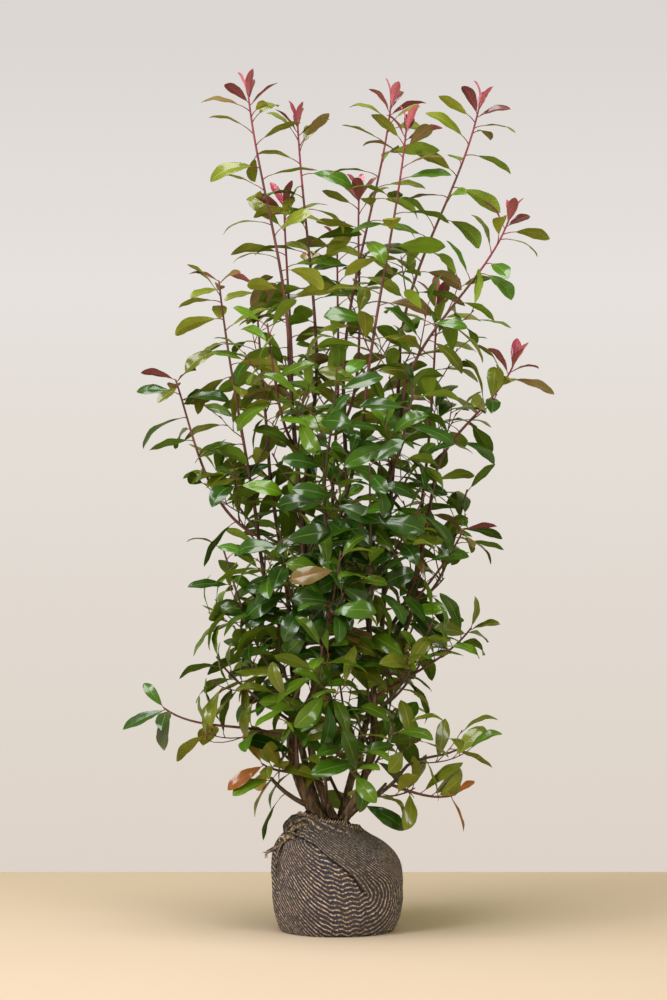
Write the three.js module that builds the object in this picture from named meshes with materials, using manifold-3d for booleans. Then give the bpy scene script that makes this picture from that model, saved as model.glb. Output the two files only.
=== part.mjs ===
// Broad-leaved evergreen shrub with several stems, a sapling for a hedge, standing on a
// root ball wrapped in striped jute. Millimetres, +Z up. The origin is the middle of the
// flat underside of the ball, and the shrub's best side faces -Y.
//
// Stems rise from the soil in the neck of the ball, boughs grow on from them, and each
// leafy shoot is one solid: a twig with side twigs and leaves, all fused together.

import * as THREE from "three";
import { mergeVertices } from "three/addons/utils/BufferGeometryUtils.js";
import Module from "manifold-3d";

const wasm = await Module();
wasm.setup();
const { Manifold } = wasm;

// Gap between neighbouring solids, and a little more where both have flat facets.
const CLEAR = 0.3;
const TRIM = 0.45;

// Root ball: a squat sack whose neck is pulled to the left, towards the knot.
const BALL_WIDTH = 262;
const BALL_DEPTH = 250;
const BALL_TOP = 208;
const BALL_SEGMENTS = 33;
// Each ring of the sack: height, radius as a share of half the width, shift of its middle.
const BALL_RINGS = [
  { z: 0, size: 0.885, shift: -1 },
  { z: 28, size: 0.955, shift: 0 },
  { z: 60, size: 0.99, shift: 0 },
  { z: 112, size: 1.0, shift: 0 },
  { z: 140, size: 0.98, shift: -3 },
  { z: 162, size: 0.91, shift: -8 },
  { z: 180, size: 0.78, shift: -17 },
  { z: 195, size: 0.61, shift: -25 },
  { z: BALL_TOP, size: 0.5, shift: -25 },
];
const PLEAT_COUNT = 11;
const PLEAT_DEPTH = 2.2;
// The loose edge of the cloth runs over the front from the knot, as a raised lap.
const LAP_HEIGHT = 4;
const LAP_FROM = { turn: -150, z: 190 };
const LAP_TO = { turn: -62, z: 84 };

// Neck of the sack: a gathered rim of cloth round the soil that the stems stand in.
const NECK = { x: -17, y: 2 };
const RIM = { inner: 54, outer: 60, height: 15, lean: 3, teeth: 20 };
const SOIL = { radius: RIM.inner - CLEAR, height: 12 };
const SOIL_TOP = BALL_TOP + CLEAR + SOIL.height;
const KNOT = { x: -97, y: -50, z: 190, radius: 15 };
const TAIL_END = { x: -141, y: -58, z: 150 };

// Leaves, larger than life because there are fewer of them: their lengths low down and
// high up, and their shape as shares of the length. They ripen over some distance from
// their twig's tip: they grow, their angle to it spreads from the first to the second
// value, and they sag. The first stands a little below the tip.
const LEAF = {
  low: 120, high: 88, width: 0.44, arch: 0.06, droop: 0.05, sunk: 0.4,
  ripens: 100, spread: [38, 74], sag: 0.5, roll: 110, first: 9,
};
const LOW_CROWN = 850;
const HIGH_CROWN = 1450;
const LEAF_GAP = 38;
// Leaves stand in a spiral: each a third of a turn and a little more after the last. A
// twig has three faces, which turn along with the leaves so that each stands on a face.
const TWIG_SIDES = 3;
const THIRD_TURN = 120;
const SPIRAL_DRIFT = 17.5;
const LEAF_JITTER = 16;
// Turns to try for a leaf whose place is taken.
const LEAF_SHIFTS = [0, THIRD_TURN, -THIRD_TURN];
const SIDE_TWIG = { longest: 140, shortest: 60, gap: 72, radius: 0.5, lean: 54 };
// How far a leaf may reach past the middle between its own stem and the next one.
const SPACE_SLACK = 28;

// How far the stems' feet reach below their level cut, and how much they flare there.
const BURIED = 20;
const FLARE = 0.4;

const BARK = { color: 0x5d4a3a, roughness: 0.9, metalness: 0 };
const JUTE = { color: 0x6f6258, roughness: 0.95, metalness: 0 };
const EARTH = { color: 0x2b221b, roughness: 1, metalness: 0 };
const FOLIAGE = { color: 0x3f6b1e, roughness: 0.4, metalness: 0 };

// Stems: foot on the soil, direction there, tip, direction there, radius at foot and tip.
const STEMS = [
  { name: "stem_left", foot: [-37, -8], sets: [-0.55, 0, 0.85], tip: [-66, 0, 640],
    ends: [0.02, 0, 1], radii: [11.5, 6.4], pull: 0.5 },
  { name: "stem_centre", foot: [-9, 12], sets: [-0.45, 0, 0.9], tip: [2, 8, 682],
    ends: [0.24, 0, 1], radii: [8.5, 5.6], pull: 0.45 },
  { name: "stem_right", foot: [14, -4], sets: [0.55, 0, 0.85], tip: [60, -4, 650],
    ends: [-0.05, 0, 1], radii: [8.5, 5.4], pull: 0.42 },
  { name: "stem_low_right", foot: [12, -26], sets: [0.42, 0, 0.9], tip: [128, -62, 322],
    ends: [0.5, -0.1, 0.85], radii: [5, 3.4], pull: 0.33 },
  { name: "stem_back_left", foot: [-32, 32], sets: [-0.35, 0.3, 0.9], tip: [-96, 106, 600],
    ends: [-0.05, 0.1, 1], radii: [8, 5], pull: 0.4 },
  { name: "stem_back_right", foot: [9, 33], sets: [0.2, 0.25, 0.95], tip: [92, 112, 620],
    ends: [0.05, 0, 1], radii: [8, 5], pull: 0.4 },
];

// Boughs: the limb each grows on and how far along it, tip, radius at start and tip.
// One that grows on from a tip, at 1, keeps its direction.
const BOUGHS = [
  { name: "bough_top_left", on: "stem_left", at: 1, tip: [-97, -30, 1165], radii: [6, 3.6] },
  { name: "bough_left", on: "stem_left", at: 0.86, tip: [-166, -20, 850], radii: [4.6, 3.5] },
  { name: "bough_top_inner", on: "stem_centre", at: 0.93, tip: [-42, 46, 1150], radii: [4.6, 3.5] },
  { name: "bough_top_centre", on: "stem_centre", at: 1, tip: [12, 0, 1100], radii: [5.2, 3.6] },
  { name: "bough_top_front", on: "stem_centre", at: 0.8, tip: [52, -62, 1030], radii: [4.6, 3.6] },
  { name: "bough_right_high", on: "stem_right", at: 1, tip: [128, -36, 1046], radii: [5, 3.5] },
  { name: "bough_right", on: "stem_right", at: 0.84, tip: [196, 26, 905], radii: [4.6, 3.5] },
  { name: "bough_top_right", on: "stem_back_right", at: 1, tip: [126, 74, 1150], radii: [4.7, 3.6] },
  { name: "bough_back_right", on: "stem_back_right", at: 0.82, tip: [178, 166, 890], radii: [4.4, 3.5] },
  { name: "bough_back", on: "stem_back_left", at: 0.88, tip: [-6, 172, 960], radii: [4.4, 3.5] },
  { name: "bough_back_left", on: "stem_back_left", at: 1, tip: [-140, 128, 940], radii: [4.7, 3.5] },
];

// Leafy shoots: the limb each grows on and where, and the tip of its twig. branchy is the
// share of the twig that bears side twigs, and turn starts the spiral of its leaves.
const SHOOTS = [
  { name: "top_left", on: "bough_top_left", at: 1, tip: [-177, -42, 1662], branchy: 0.35, turn: 40 },
  { name: "top_inner", on: "bough_top_inner", at: 1, tip: [-80, 40, 1612], branchy: 0.35, turn: 160 },
  { name: "top_centre", on: "bough_top_centre", at: 1, tip: [107, 18, 1650], branchy: 0.3, turn: 200 },
  { name: "top_front", on: "bough_top_front", at: 1, tip: [136, -50, 1592], branchy: 0.35, turn: 300 },
  { name: "top_right", on: "bough_top_right", at: 1, tip: [286, 66, 1652], branchy: 0.35, turn: 80 },
  { name: "right_high", on: "bough_right_high", at: 1, tip: [340, -44, 1415], branchy: 0.45, turn: 10 },
  { name: "upper_left", on: "bough_left", at: 1, tip: [-236, -26, 1295], branchy: 0.4, turn: 120 },
  { name: "left_outer", on: "bough_left", at: 0.8, tip: [-322, -34, 1098], branchy: 0.1, turn: 250 },
  { name: "right_outer", on: "bough_right", at: 1, tip: [352, 12, 1128], branchy: 0.5, turn: 330 },
  { name: "inner_left", on: "bough_top_left", at: 0.82, tip: [-108, 70, 1455], branchy: 0.2, turn: 20 },
  { name: "inner_back", on: "bough_top_centre", at: 0.8, tip: [44, 104, 1480], branchy: 0.25, turn: 75 },
  { name: "front_high", on: "bough_top_left", at: 0.62, tip: [-138, -112, 1205], branchy: 0.5, turn: 215 },
  { name: "front_centre", on: "bough_top_front", at: 0.5, tip: [-2, -150, 1110], branchy: 0.6, turn: 145 },
  { name: "front_right", on: "bough_right_high", at: 0.5, tip: [148, -140, 1075], branchy: 0.5, turn: 275 },
  { name: "front_inner", on: "stem_right", at: 0.9, tip: [62, -150, 930], branchy: 0.6, turn: 20 },
  { name: "right_front", on: "stem_centre", at: 0.9, tip: [172, -130, 872], branchy: 0.5, turn: 95 },
  { name: "right_mid", on: "bough_right", at: 0.2, tip: [250, -40, 800], branchy: 0.5, turn: 15 },
  { name: "left_mid", on: "stem_left", at: 0.66, tip: [-228, -40, 765], branchy: 0.6, turn: 185 },
  { name: "left_low", on: "stem_left", at: 0.52, tip: [-240, -52, 548], branchy: 0.6, turn: 35 },
  { name: "left_long", on: "stem_left", at: 0.42, tip: [-345, -40, 446], branchy: 0.25, turn: 290 },
  { name: "left_foot", on: "stem_left", at: 0.24, tip: [-150, -40, 335], branchy: 0.3, turn: 60 },
  { name: "front_foot", on: "stem_centre", at: 0.2, tip: [30, -130, 400], branchy: 0.45, turn: 340 },
  { name: "front_low", on: "stem_centre", at: 0.42, tip: [-30, -150, 575], branchy: 0.6, turn: 130 },
  { name: "front_left", on: "stem_left", at: 0.92, tip: [-112, -150, 800], branchy: 0.5, turn: 230 },
  { name: "front_mid", on: "stem_centre", at: 0.66, tip: [6, -160, 760], branchy: 0.65, turn: 310 },
  { name: "right_low", on: "stem_right", at: 0.55, tip: [190, -96, 628], branchy: 0.55, turn: 70 },
  { name: "right_reach", on: "stem_right", at: 0.62, tip: [268, 18, 602], branchy: 0.5, turn: 155 },
  { name: "front_right_foot", on: "stem_right", at: 0.22, tip: [112, -112, 420], branchy: 0.5, turn: 190 },
  { name: "right_foot", on: "stem_low_right", at: 1, tip: [250, -60, 374], branchy: 0.3, turn: 265 },
  { name: "right_ground", on: "stem_low_right", at: 0.8, tip: [232, -100, 280], branchy: 0.2, turn: 100 },
  { name: "back_top", on: "bough_back", at: 1, tip: [0, 176, 1380], branchy: 0.5, turn: 15 },
  { name: "back_top_left", on: "bough_back_left", at: 1, tip: [-168, 160, 1300], branchy: 0.5, turn: 170 },
  { name: "back_top_right", on: "bough_back_right", at: 1, tip: [206, 188, 1270], branchy: 0.5, turn: 240 },
  { name: "back_left", on: "bough_back_left", at: 0.5, tip: [-250, 160, 930], branchy: 0.5, turn: 50 },
  { name: "back_right", on: "bough_back_right", at: 0.4, tip: [266, 150, 880], branchy: 0.5, turn: 320 },
  { name: "back_mid", on: "bough_back", at: 0.3, tip: [10, 262, 850], branchy: 0.5, turn: 110 },
  { name: "back_low_left", on: "stem_back_left", at: 0.6, tip: [-214, 190, 600], branchy: 0.5, turn: 205 },
  { name: "back_low_right", on: "stem_back_right", at: 0.55, tip: [206, 200, 585], branchy: 0.5, turn: 295 },
  { name: "back_foot", on: "stem_back_right", at: 0.36, tip: [2, 210, 500], branchy: 0.5, turn: 135 },
];
const SHOOT_RADII = [4, 2];

const vector = (values) => new THREE.Vector3(...values);
const radians = THREE.MathUtils.degToRad;
const blend = THREE.MathUtils.lerp;
const UP = vector([0, 0, 1]);

// A number from 0 to 1 that depends only on the two given.
function chance(seed, draw) {
  const wave = Math.sin(seed * 12.9898 + draw * 78.233) * 43758.5453;
  return wave - Math.floor(wave);
}

// A closed geometry as a solid. Its shared corners are merged first.
function toSolid(geometry) {
  const bare = geometry.clone();
  bare.deleteAttribute("normal");
  bare.deleteAttribute("uv");
  const merged = mergeVertices(bare, 1e-4);
  const vertProperties = new Float32Array(merged.attributes.position.array);
  const triVerts = new Uint32Array(merged.index.array);
  const solid = new Manifold(new wasm.Mesh({ numProp: 3, vertProperties, triVerts }));
  if (solid.volume() > 0) return solid;
  for (let i = 0; i < triVerts.length; i += 3) {
    [triVerts[i + 1], triVerts[i + 2]] = [triVerts[i + 2], triVerts[i + 1]];
  }
  return new Manifold(new wasm.Mesh({ numProp: 3, vertProperties, triVerts }));
}

// A solid as a named mesh. Where a cut left scraps, only the largest body is kept.
function toMesh(name, solid, look) {
  const bodies = solid.decompose().sort((a, b) => b.volume() - a.volume());
  const made = bodies[0].getMesh();
  const geometry = new THREE.BufferGeometry();
  geometry.setAttribute("position", new THREE.BufferAttribute(made.vertProperties, made.numProp));
  geometry.setIndex(new THREE.BufferAttribute(made.triVerts, 1));
  geometry.computeVertexNormals();
  const mesh = new THREE.Mesh(geometry, new THREE.MeshStandardMaterial(look));
  mesh.name = name;
  return mesh;
}

// Moves each corner of a geometry to where place(corner) says.
function reshape(geometry, place) {
  const corners = geometry.attributes.position;
  const corner = new THREE.Vector3();
  for (let i = 0; i < corners.count; i += 1) {
    const moved = place(corner.fromBufferAttribute(corners, i));
    corners.setXYZ(i, moved.x, moved.y, moved.z);
  }
  return geometry;
}

// Two directions square to a line and to each other.
function across(direction) {
  const aside = Math.abs(direction.y) > 0.9 ? vector([1, 0, 0]) : vector([0, 1, 0]);
  const first = aside.clone().cross(direction).normalize();
  return [first, direction.clone().cross(first)];
}

// The direction away from a centre line at an angle round it.
function outward(line, t, angle) {
  const [first, second] = across(line.getTangent(t));
  return first.multiplyScalar(Math.cos(angle)).addScaledVector(second, Math.sin(angle));
}

// A point on the straight stretches that a limb of so many steps has for its centre line.
function onSpine(line, t, steps) {
  const step = Math.min(steps - 1, Math.floor(t * steps));
  return line.getPoint(step / steps).lerp(line.getPoint((step + 1) / steps), t * steps - step);
}

// A limb's centre line: it sets out along one direction and ends along another.
function growth(start, sets, tip, ends, pull) {
  const reach = start.distanceTo(tip) * pull;
  return new THREE.CubicBezierCurve3(
    start,
    start.clone().addScaledVector(sets.clone().normalize(), reach),
    tip.clone().addScaledVector(ends.clone().normalize(), -reach),
    tip,
  );
}

// A tapering limb: an extruded polygon bent along its centre line. grow thickens it all
// round, and turn(t) says how far its section has turned.
function limb({ line, radii, sides, steps, flare = 0, grow = 0, turn = () => 0 }) {
  const section = new THREE.Shape();
  for (let i = 0; i < sides; i += 1) {
    const angle = (2 * Math.PI * i) / sides;
    if (i === 0) section.moveTo(Math.cos(angle), Math.sin(angle));
    else section.lineTo(Math.cos(angle), Math.sin(angle));
  }
  const rod = new THREE.ExtrudeGeometry(section, { depth: 1, steps, bevelEnabled: false });
  return toSolid(reshape(rod, (corner) => {
    const t = corner.z;
    const radius = blend(radii[0], radii[1], t) * (1 + flare * Math.exp(-t * 14)) + grow;
    const angle = Math.atan2(corner.y, corner.x) + turn(t);
    return line.getPoint(t).addScaledVector(outward(line, t, angle), radius);
  }));
}

// Height of the cloth's lap above the sack, at an angle and height of the ball.
function lapAt(turn, z) {
  const along = (turn - LAP_FROM.turn) / (LAP_TO.turn - LAP_FROM.turn);
  const edge = blend(LAP_FROM.z, LAP_TO.z, THREE.MathUtils.clamp(along, 0, 1) ** 1.4);
  const above = THREE.MathUtils.smoothstep(z, edge - 6, edge + 4);
  const fades = THREE.MathUtils.smoothstep(along, -0.1, 0.15)
    * (1 - THREE.MathUtils.smoothstep(along, 0.95, 1.1));
  return LAP_HEIGHT * above * fades * (1 - THREE.MathUtils.smoothstep(z, edge + 20, edge + 70));
}

// The wrapped ball, its skin moved outwards by grow.
function rootBall(grow = 0) {
  const rings = BALL_RINGS.map(({ z, size }) => new THREE.Vector2(size * BALL_WIDTH / 2, z));
  const profile = [new THREE.Vector2(0, 0), ...rings, new THREE.Vector2(0, BALL_TOP)];
  const lathe = new THREE.LatheGeometry(profile, BALL_SEGMENTS).rotateX(Math.PI / 2);
  return toSolid(reshape(lathe, (corner) => {
    const ring = BALL_RINGS.find(({ z }) => Math.abs(z - corner.z) < 0.01);
    const radius = Math.hypot(corner.x, corner.y);
    const turn = Math.atan2(corner.y, corner.x);
    const height = corner.z / BALL_TOP;
    const onSkin = radius > 1 && corner.z > 1 ? 1 : 0;
    const pleat = PLEAT_DEPTH * Math.cos(turn * PLEAT_COUNT + height * 3) * height * onSkin;
    const lap = lapAt(THREE.MathUtils.radToDeg(turn), corner.z) * onSkin;
    const out = radius > 1 ? 1 + (pleat + lap + grow) / radius : 1;
    const lift = corner.z > BALL_TOP - 1 ? grow : 0;
    return vector([
      corner.x * out + ring.shift,
      corner.y * out * (BALL_DEPTH / BALL_WIDTH),
      corner.z + lift,
    ]);
  }));
}

// The gathered rim of cloth round the neck. Every other point of its edge stands higher.
function rim() {
  const profile = [
    [RIM.inner, 0], [RIM.outer, 0], [RIM.outer + RIM.lean, RIM.height * 0.55],
    [RIM.outer + RIM.lean * 0.6, RIM.height], [RIM.inner + 1, RIM.height], [RIM.inner, 0],
  ].map(([radius, z]) => new THREE.Vector2(radius, z));
  const ring = new THREE.LatheGeometry(profile, RIM.teeth * 2).rotateX(Math.PI / 2);
  return toSolid(reshape(ring, (corner) => {
    const tooth = Math.round(Math.atan2(corner.y, corner.x) / (Math.PI / RIM.teeth));
    const high = corner.z > RIM.height * 0.9 && tooth % 2 === 0 ? 3 : 0;
    return vector([corner.x + NECK.x, corner.y + NECK.y, corner.z + high + BALL_TOP + CLEAR]);
  }));
}

// The soil in the neck, level so that the stems stand on it.
function soil() {
  const disc = new THREE.CylinderGeometry(SOIL.radius, SOIL.radius, SOIL.height, 32);
  disc.rotateX(Math.PI / 2);
  disc.translate(NECK.x, NECK.y, BALL_TOP + CLEAR + SOIL.height / 2);
  return toSolid(disc);
}

// The knot that pulls the cloth together, with its short twisted tail.
function knot() {
  const middle = vector([KNOT.x, KNOT.y, KNOT.z]);
  const end = vector([TAIL_END.x, TAIL_END.y, TAIL_END.z]);
  const ball = new THREE.SphereGeometry(KNOT.radius, 10, 7).scale(1.25, 0.9, 0.85);
  ball.translate(middle.x, middle.y, middle.z);
  const tail = growth(middle, vector([-0.9, -0.2, -0.3]), end, vector([-0.8, 0, -0.6]), 0.35);
  const twisted = limb({ line: tail, radii: [9, 4.5], sides: 6, steps: 4 });
  return Manifold.union([toSolid(ball), twisted]).subtract(rootBall(TRIM));
}

// A leaf of eight faces. Its upper side is an arched strip between the corners of its
// outline, and its lower side is a keel from its root to its tip.
function leaf(root, axis, face, length) {
  const side = face.clone().cross(axis).normalize();
  const wide = (length * LEAF.width) / 2;
  const arch = length * LEAF.arch;
  const corners = [
    [0, 0, 0],
    [0.36, 0.9 * wide, arch],
    [0.72, wide, 0.8 * arch],
    [1, 0, -LEAF.droop * length],
    [0.72, -wide, 0.8 * arch],
    [0.36, -0.9 * wide, arch],
  ].map(([along, aside, above]) => root.clone().addScaledVector(axis, along * length)
    .addScaledVector(side, aside).addScaledVector(face, above));
  const upper = [0, 1, 5, 5, 1, 4, 4, 1, 2, 4, 2, 3];
  const lower = [1, 0, 3, 2, 1, 3, 0, 5, 3, 5, 4, 3];
  const geometry = new THREE.BufferGeometry();
  const positions = new Float32Array(corners.flatMap((corner) => corner.toArray()));
  geometry.setAttribute("position", new THREE.BufferAttribute(positions, 3));
  geometry.setIndex([...upper, ...lower]);
  return toSolid(geometry);
}

// Angle that a twig's faces and leaves have turned by, at a distance from its tip.
function spiral(twig, fromTip) {
  return radians(twig.turn + (SPIRAL_DRIFT * fromTip) / LEAF_GAP);
}

// The solid of a twig, with a face of it at each leaf's angle.
function twigSolid(twig) {
  const turn = (t) => spiral(twig, (1 - t) * twig.length) - Math.PI / TWIG_SIDES;
  return limb({ line: twig.line, radii: twig.radii, steps: twig.steps, sides: TWIG_SIDES, turn });
}

// A leaf at a distance from a twig's tip: upright near the tip, spreading and sagging
// lower down, with its face turned to the sky and to the stem, more or less.
function leafOn(twig, fromTip, angle, draw) {
  const t = 1 - fromTip / twig.length;
  const luck = (n) => chance(twig.seed, draw + n / 10);
  const out = outward(twig.line, t, angle);
  const age = Math.min(1, fromTip / LEAF.ripens);
  const spread = radians(blend(LEAF.spread[0], LEAF.spread[1], age) + 14 * (luck(1) - 0.5));
  const axis = twig.line.getTangent(t).multiplyScalar(Math.cos(spread))
    .addScaledVector(out, Math.sin(spread)).addScaledVector(UP, -LEAF.sag * age * luck(2)).normalize();
  const skyward = UP.clone().multiplyScalar(0.8).addScaledVector(out, -0.5);
  const face = skyward.addScaledVector(axis, -skyward.dot(axis)).normalize();
  face.applyAxisAngle(axis, radians(LEAF.roll * (luck(3) - 0.5)));
  const base = onSpine(twig.line, t, twig.steps);
  const height = THREE.MathUtils.smoothstep(base.z, LOW_CROWN, HIGH_CROWN);
  const length = blend(LEAF.low, LEAF.high, height) * blend(0.74, 1, age) * blend(0.86, 1.12, luck(4));
  const sunk = LEAF.sunk * blend(twig.radii[0], twig.radii[1], t);
  return leaf(base.addScaledVector(axis, -sunk), axis, face, length);
}

// Everything placed so far, with the limb or shoot that it belongs to.
const placed = [];

function place(owner, solid) {
  placed.push({ owner, solid, box: solid.boundingBox() });
}

function near(a, b) {
  return [0, 1, 2].every((i) => a.min[i] - CLEAR < b.max[i] && b.min[i] - CLEAR < a.max[i]);
}

// Whether a solid keeps clear of all that is placed, apart from its own shoot.
function isFree(owner, solid) {
  const box = solid.boundingBox();
  return !placed.some((other) => other.owner !== owner && near(box, other.box)
    && solid.minGap(other.solid, CLEAR * 2) < CLEAR);
}

// Distance from a point to a centre line, from samples along it.
function distanceTo(samples, point) {
  return Math.min(...samples.map((sample) => sample.distanceTo(point)));
}

const limbs = new Map();
const group = new THREE.Group();
group.name = "shrub_on_root_ball";

function addSolid(name, solid, look) {
  place(name, solid);
  group.add(toMesh(name, solid, look));
}

function addStem({ name, foot, sets, tip, ends, radii, pull }) {
  // The limb begins below the soil's top and is cut level there, so that it stands flat.
  const level = SOIL_TOP + CLEAR;
  const heading = vector(sets).normalize();
  const buried = vector([...foot, level]).addScaledVector(heading, -BURIED / heading.z);
  const line = growth(buried, heading, vector(tip), vector(ends), pull);
  const below = new THREE.BoxGeometry(400, 400, BURIED * 4);
  below.translate(0, 0, level - BURIED * 2);
  const stem = { line, radii, sides: 8, steps: 9, flare: FLARE };
  limbs.set(name, stem);
  addSolid(name, limb(stem).subtract(toSolid(below)), BARK);
}

// Where a limb or shoot begins on the limb that bears it, and which way it sets out.
function startOn({ on, at, tip }, radius) {
  const bearer = limbs.get(on);
  const heading = bearer.line.getTangent(at);
  const start = bearer.line.getPoint(at);
  if (at === 1) {
    return { start: start.addScaledVector(heading, CLEAR), sets: heading, trim: null };
  }
  const aim = vector(tip).sub(start);
  const aside = aim.addScaledVector(heading, -aim.dot(heading)).normalize();
  const sets = heading.clone().multiplyScalar(0.6).add(aside).normalize();
  const trim = limb({ ...bearer, grow: TRIM });
  const room = Math.max(0, blend(...bearer.radii, at) - radius);
  return { start: start.addScaledVector(aside, room / 2), sets, trim };
}

// The centre line from a start to a tip, ending more upright than it goes.
function growthTo(start, sets, tip, uplift) {
  const ends = tip.clone().sub(start).normalize().addScaledVector(UP, uplift).normalize();
  return growth(start, sets, tip, ends, 0.33);
}

function addBough(row) {
  const { start, sets, trim } = startOn(row, row.radii[0]);
  const line = growthTo(start, sets, vector(row.tip), 1);
  const bough = { line, radii: row.radii, sides: 6, steps: 6 };
  limbs.set(row.name, bough);
  addSolid(row.name, trim ? limb(bough).subtract(trim) : limb(bough), BARK);
}

const nodeName = (shoot) => `foliage_${shoot.name}`;

// The main twig of a shoot, placed before any leaf so that all leaves keep clear of it.
function mainTwig(row, index) {
  const { start, sets, trim } = startOn(row, SHOOT_RADII[0]);
  const line = growthTo(start, sets, vector(row.tip), 0.5);
  const twig = {
    line, radii: SHOOT_RADII, steps: 6, length: line.getLength(), turn: row.turn,
    seed: index + 1, samples: line.getSpacedPoints(12),
  };
  twig.solid = trim ? twigSolid(twig).subtract(trim) : twigSolid(twig);
  place(nodeName(row), twig.solid);
  return twig;
}

// A straight side twig that leans out from the main twig.
function sideTwig(main, t, side, seed) {
  const start = onSpine(main.line, t, main.steps);
  const angle = spiral(main, (1 - t) * main.length) + radians(THIRD_TURN * side);
  const lean = radians(SIDE_TWIG.lean);
  const heading = main.line.getTangent(t).multiplyScalar(Math.cos(lean))
    .addScaledVector(outward(main.line, t, angle), Math.sin(lean)).addScaledVector(UP, 0.2).normalize();
  const length = blend(SIDE_TWIG.longest, SIDE_TWIG.shortest, t) * blend(0.8, 1.2, chance(seed, 5));
  const line = new THREE.LineCurve3(start, start.clone().addScaledVector(heading, length));
  const radius = SIDE_TWIG.radius * blend(main.radii[0], main.radii[1], t);
  const twig = {
    line, radii: [radius, radius * 0.8], steps: 1, length,
    turn: 360 * chance(seed, 6), seed,
  };
  twig.solid = twigSolid(twig);
  return twig;
}

// A shoot's own space: nearer to its twig than to any other shoot's, give or take a little.
function inOwnSpace(index, point) {
  const own = distanceTo(mainTwigs[index].samples, point);
  return mainTwigs.every((other, i) => i === index
    || distanceTo(other.samples, point) > own - SPACE_SLACK);
}

// Whether a piece of a shoot has room: it crosses no other piece than the one bearing it,
// stays in the shoot's space and keeps clear of everything else.
function hasRoom(index, solid, pieces, bearer) {
  const box = solid.boundingBox();
  const middle = vector([0, 1, 2].map((i) => (box.min[i] + box.max[i]) / 2));
  const crosses = pieces.some((piece) => piece !== bearer && near(box, piece.boundingBox())
    && piece.intersect(solid).volume() > 0);
  return !crosses && inOwnSpace(index, middle) && isFree(nodeName(SHOOTS[index]), solid);
}

// Adds leaves down a twig from its tip, where they have room.
function addLeaves(index, pieces, twig, bare) {
  let fromTip = LEAF.first;
  for (let k = 0; fromTip < twig.length - bare; k += 1) {
    const jitter = radians(LEAF_JITTER * (chance(twig.seed, k + 0.9) - 0.5));
    for (const shift of LEAF_SHIFTS) {
      const angle = spiral(twig, fromTip) + radians(THIRD_TURN * k + shift) + jitter;
      const made = leafOn(twig, fromTip, angle, k);
      if (hasRoom(index, made, pieces, twig.solid)) {
        pieces.push(made);
        break;
      }
    }
    fromTip += LEAF_GAP * (k < 2 ? 0.5 : 1);
  }
}

function addShoot(row, index) {
  const main = mainTwigs[index];
  const pieces = [main.solid];
  const bare = Math.min(50, main.length * 0.2);
  const sides = Math.round((main.length * row.branchy) / SIDE_TWIG.gap);
  for (let k = 0; k < sides; k += 1) {
    const t = bare / main.length + (row.branchy * (k + 0.5)) / sides;
    const side = sideTwig(main, t, k, main.seed + k * 0.37);
    if (hasRoom(index, side.solid, pieces, main.solid)) {
      pieces.push(side.solid);
      addLeaves(index, pieces, side, side.length * 0.3);
    }
  }
  addLeaves(index, pieces, main, bare);
  addSolid(nodeName(row), Manifold.union(pieces), FOLIAGE);
}

addSolid("root_ball", rootBall(), JUTE);
addSolid("jute_rim", rim(), JUTE);
addSolid("neck_soil", soil(), EARTH);
addSolid("jute_knot", knot(), JUTE);
STEMS.forEach(addStem);
BOUGHS.forEach(addBough);
const mainTwigs = SHOOTS.map(mainTwig);
SHOOTS.forEach(addShoot);

export default group;
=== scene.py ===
import math
from dataclasses import dataclass

import bpy
import numpy as np
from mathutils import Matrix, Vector, noise


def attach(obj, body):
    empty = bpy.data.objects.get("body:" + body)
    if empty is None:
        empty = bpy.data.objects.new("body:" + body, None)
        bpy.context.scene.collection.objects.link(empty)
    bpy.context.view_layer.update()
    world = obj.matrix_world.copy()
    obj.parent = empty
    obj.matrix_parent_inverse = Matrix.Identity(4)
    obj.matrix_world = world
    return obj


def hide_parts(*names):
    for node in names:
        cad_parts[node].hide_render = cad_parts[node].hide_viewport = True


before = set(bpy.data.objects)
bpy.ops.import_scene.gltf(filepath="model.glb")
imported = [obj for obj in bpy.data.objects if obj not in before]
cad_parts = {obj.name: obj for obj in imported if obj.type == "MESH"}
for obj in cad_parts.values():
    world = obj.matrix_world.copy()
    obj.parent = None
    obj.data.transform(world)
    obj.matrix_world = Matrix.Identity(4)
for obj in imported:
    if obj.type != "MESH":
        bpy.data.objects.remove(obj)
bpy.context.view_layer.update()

# Looks of a broad-leaved evergreen shrub on a root ball wrapped in striped jute. The tables of
# limbs and the growth rule are those of the solids, in millimetres and in their frame: a stem
# bears boughs, boughs bear leafy shoots, and here the shoots go on to finer twigs and to
# leaves of their real size.
MM = 0.001

BALL_WIDTH = 262
BALL_DEPTH = 250
BALL_TOP = 208
# Columns of the sack's mesh, and the distance between its rows.
BALL_COLUMNS = 520
BALL_ROW = 1.7
# Each ring of the sack: height, radius as a share of half the width, shift of its middle.
BALL_RINGS = np.array([
    (0, 0.885, -1), (28, 0.955, 0), (60, 0.99, 0), (112, 1.0, 0), (140, 0.98, -3),
    (162, 0.91, -8), (180, 0.78, -17), (195, 0.61, -25), (208, 0.5, -25),
])
TUCK_COUNT = 11
GATHER_COUNT = 34
NECK = np.array([-17.0, 2.0, 0.0])
NECK_RADIUS = 54
SOIL_TOP = 220.3
NECK_MOUND = (-50.0, -8.0)

# The fold where the cloth's loose edge runs over the front: turn round the ball, height.
FOLD = np.array([
    (-145, 196), (-120, 191), (-105, 181), (-96, 161), (-85, 141), (-76, 121), (-69, 98), (-64, 83),
])
RIB = 9.2
# Slope of the ribs at turns round the ball. They run level a little left of its middle.
SLOPE_TURNS = (-185, -170, -160, -150, -140, -128, -105, -82, -36, 0)
SLOPES = (0, 18, 30, 40, 48, 52, 32, 0, -50, -50)
LEVEL_TURN = -82
# The knot draws the ribs together round itself, over some distance.
DRAWN_TURN = -148
DRAWN_HEIGHT = 196
DRAWN_OVER = 50
DRAWN_MORE = 0.6

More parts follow.
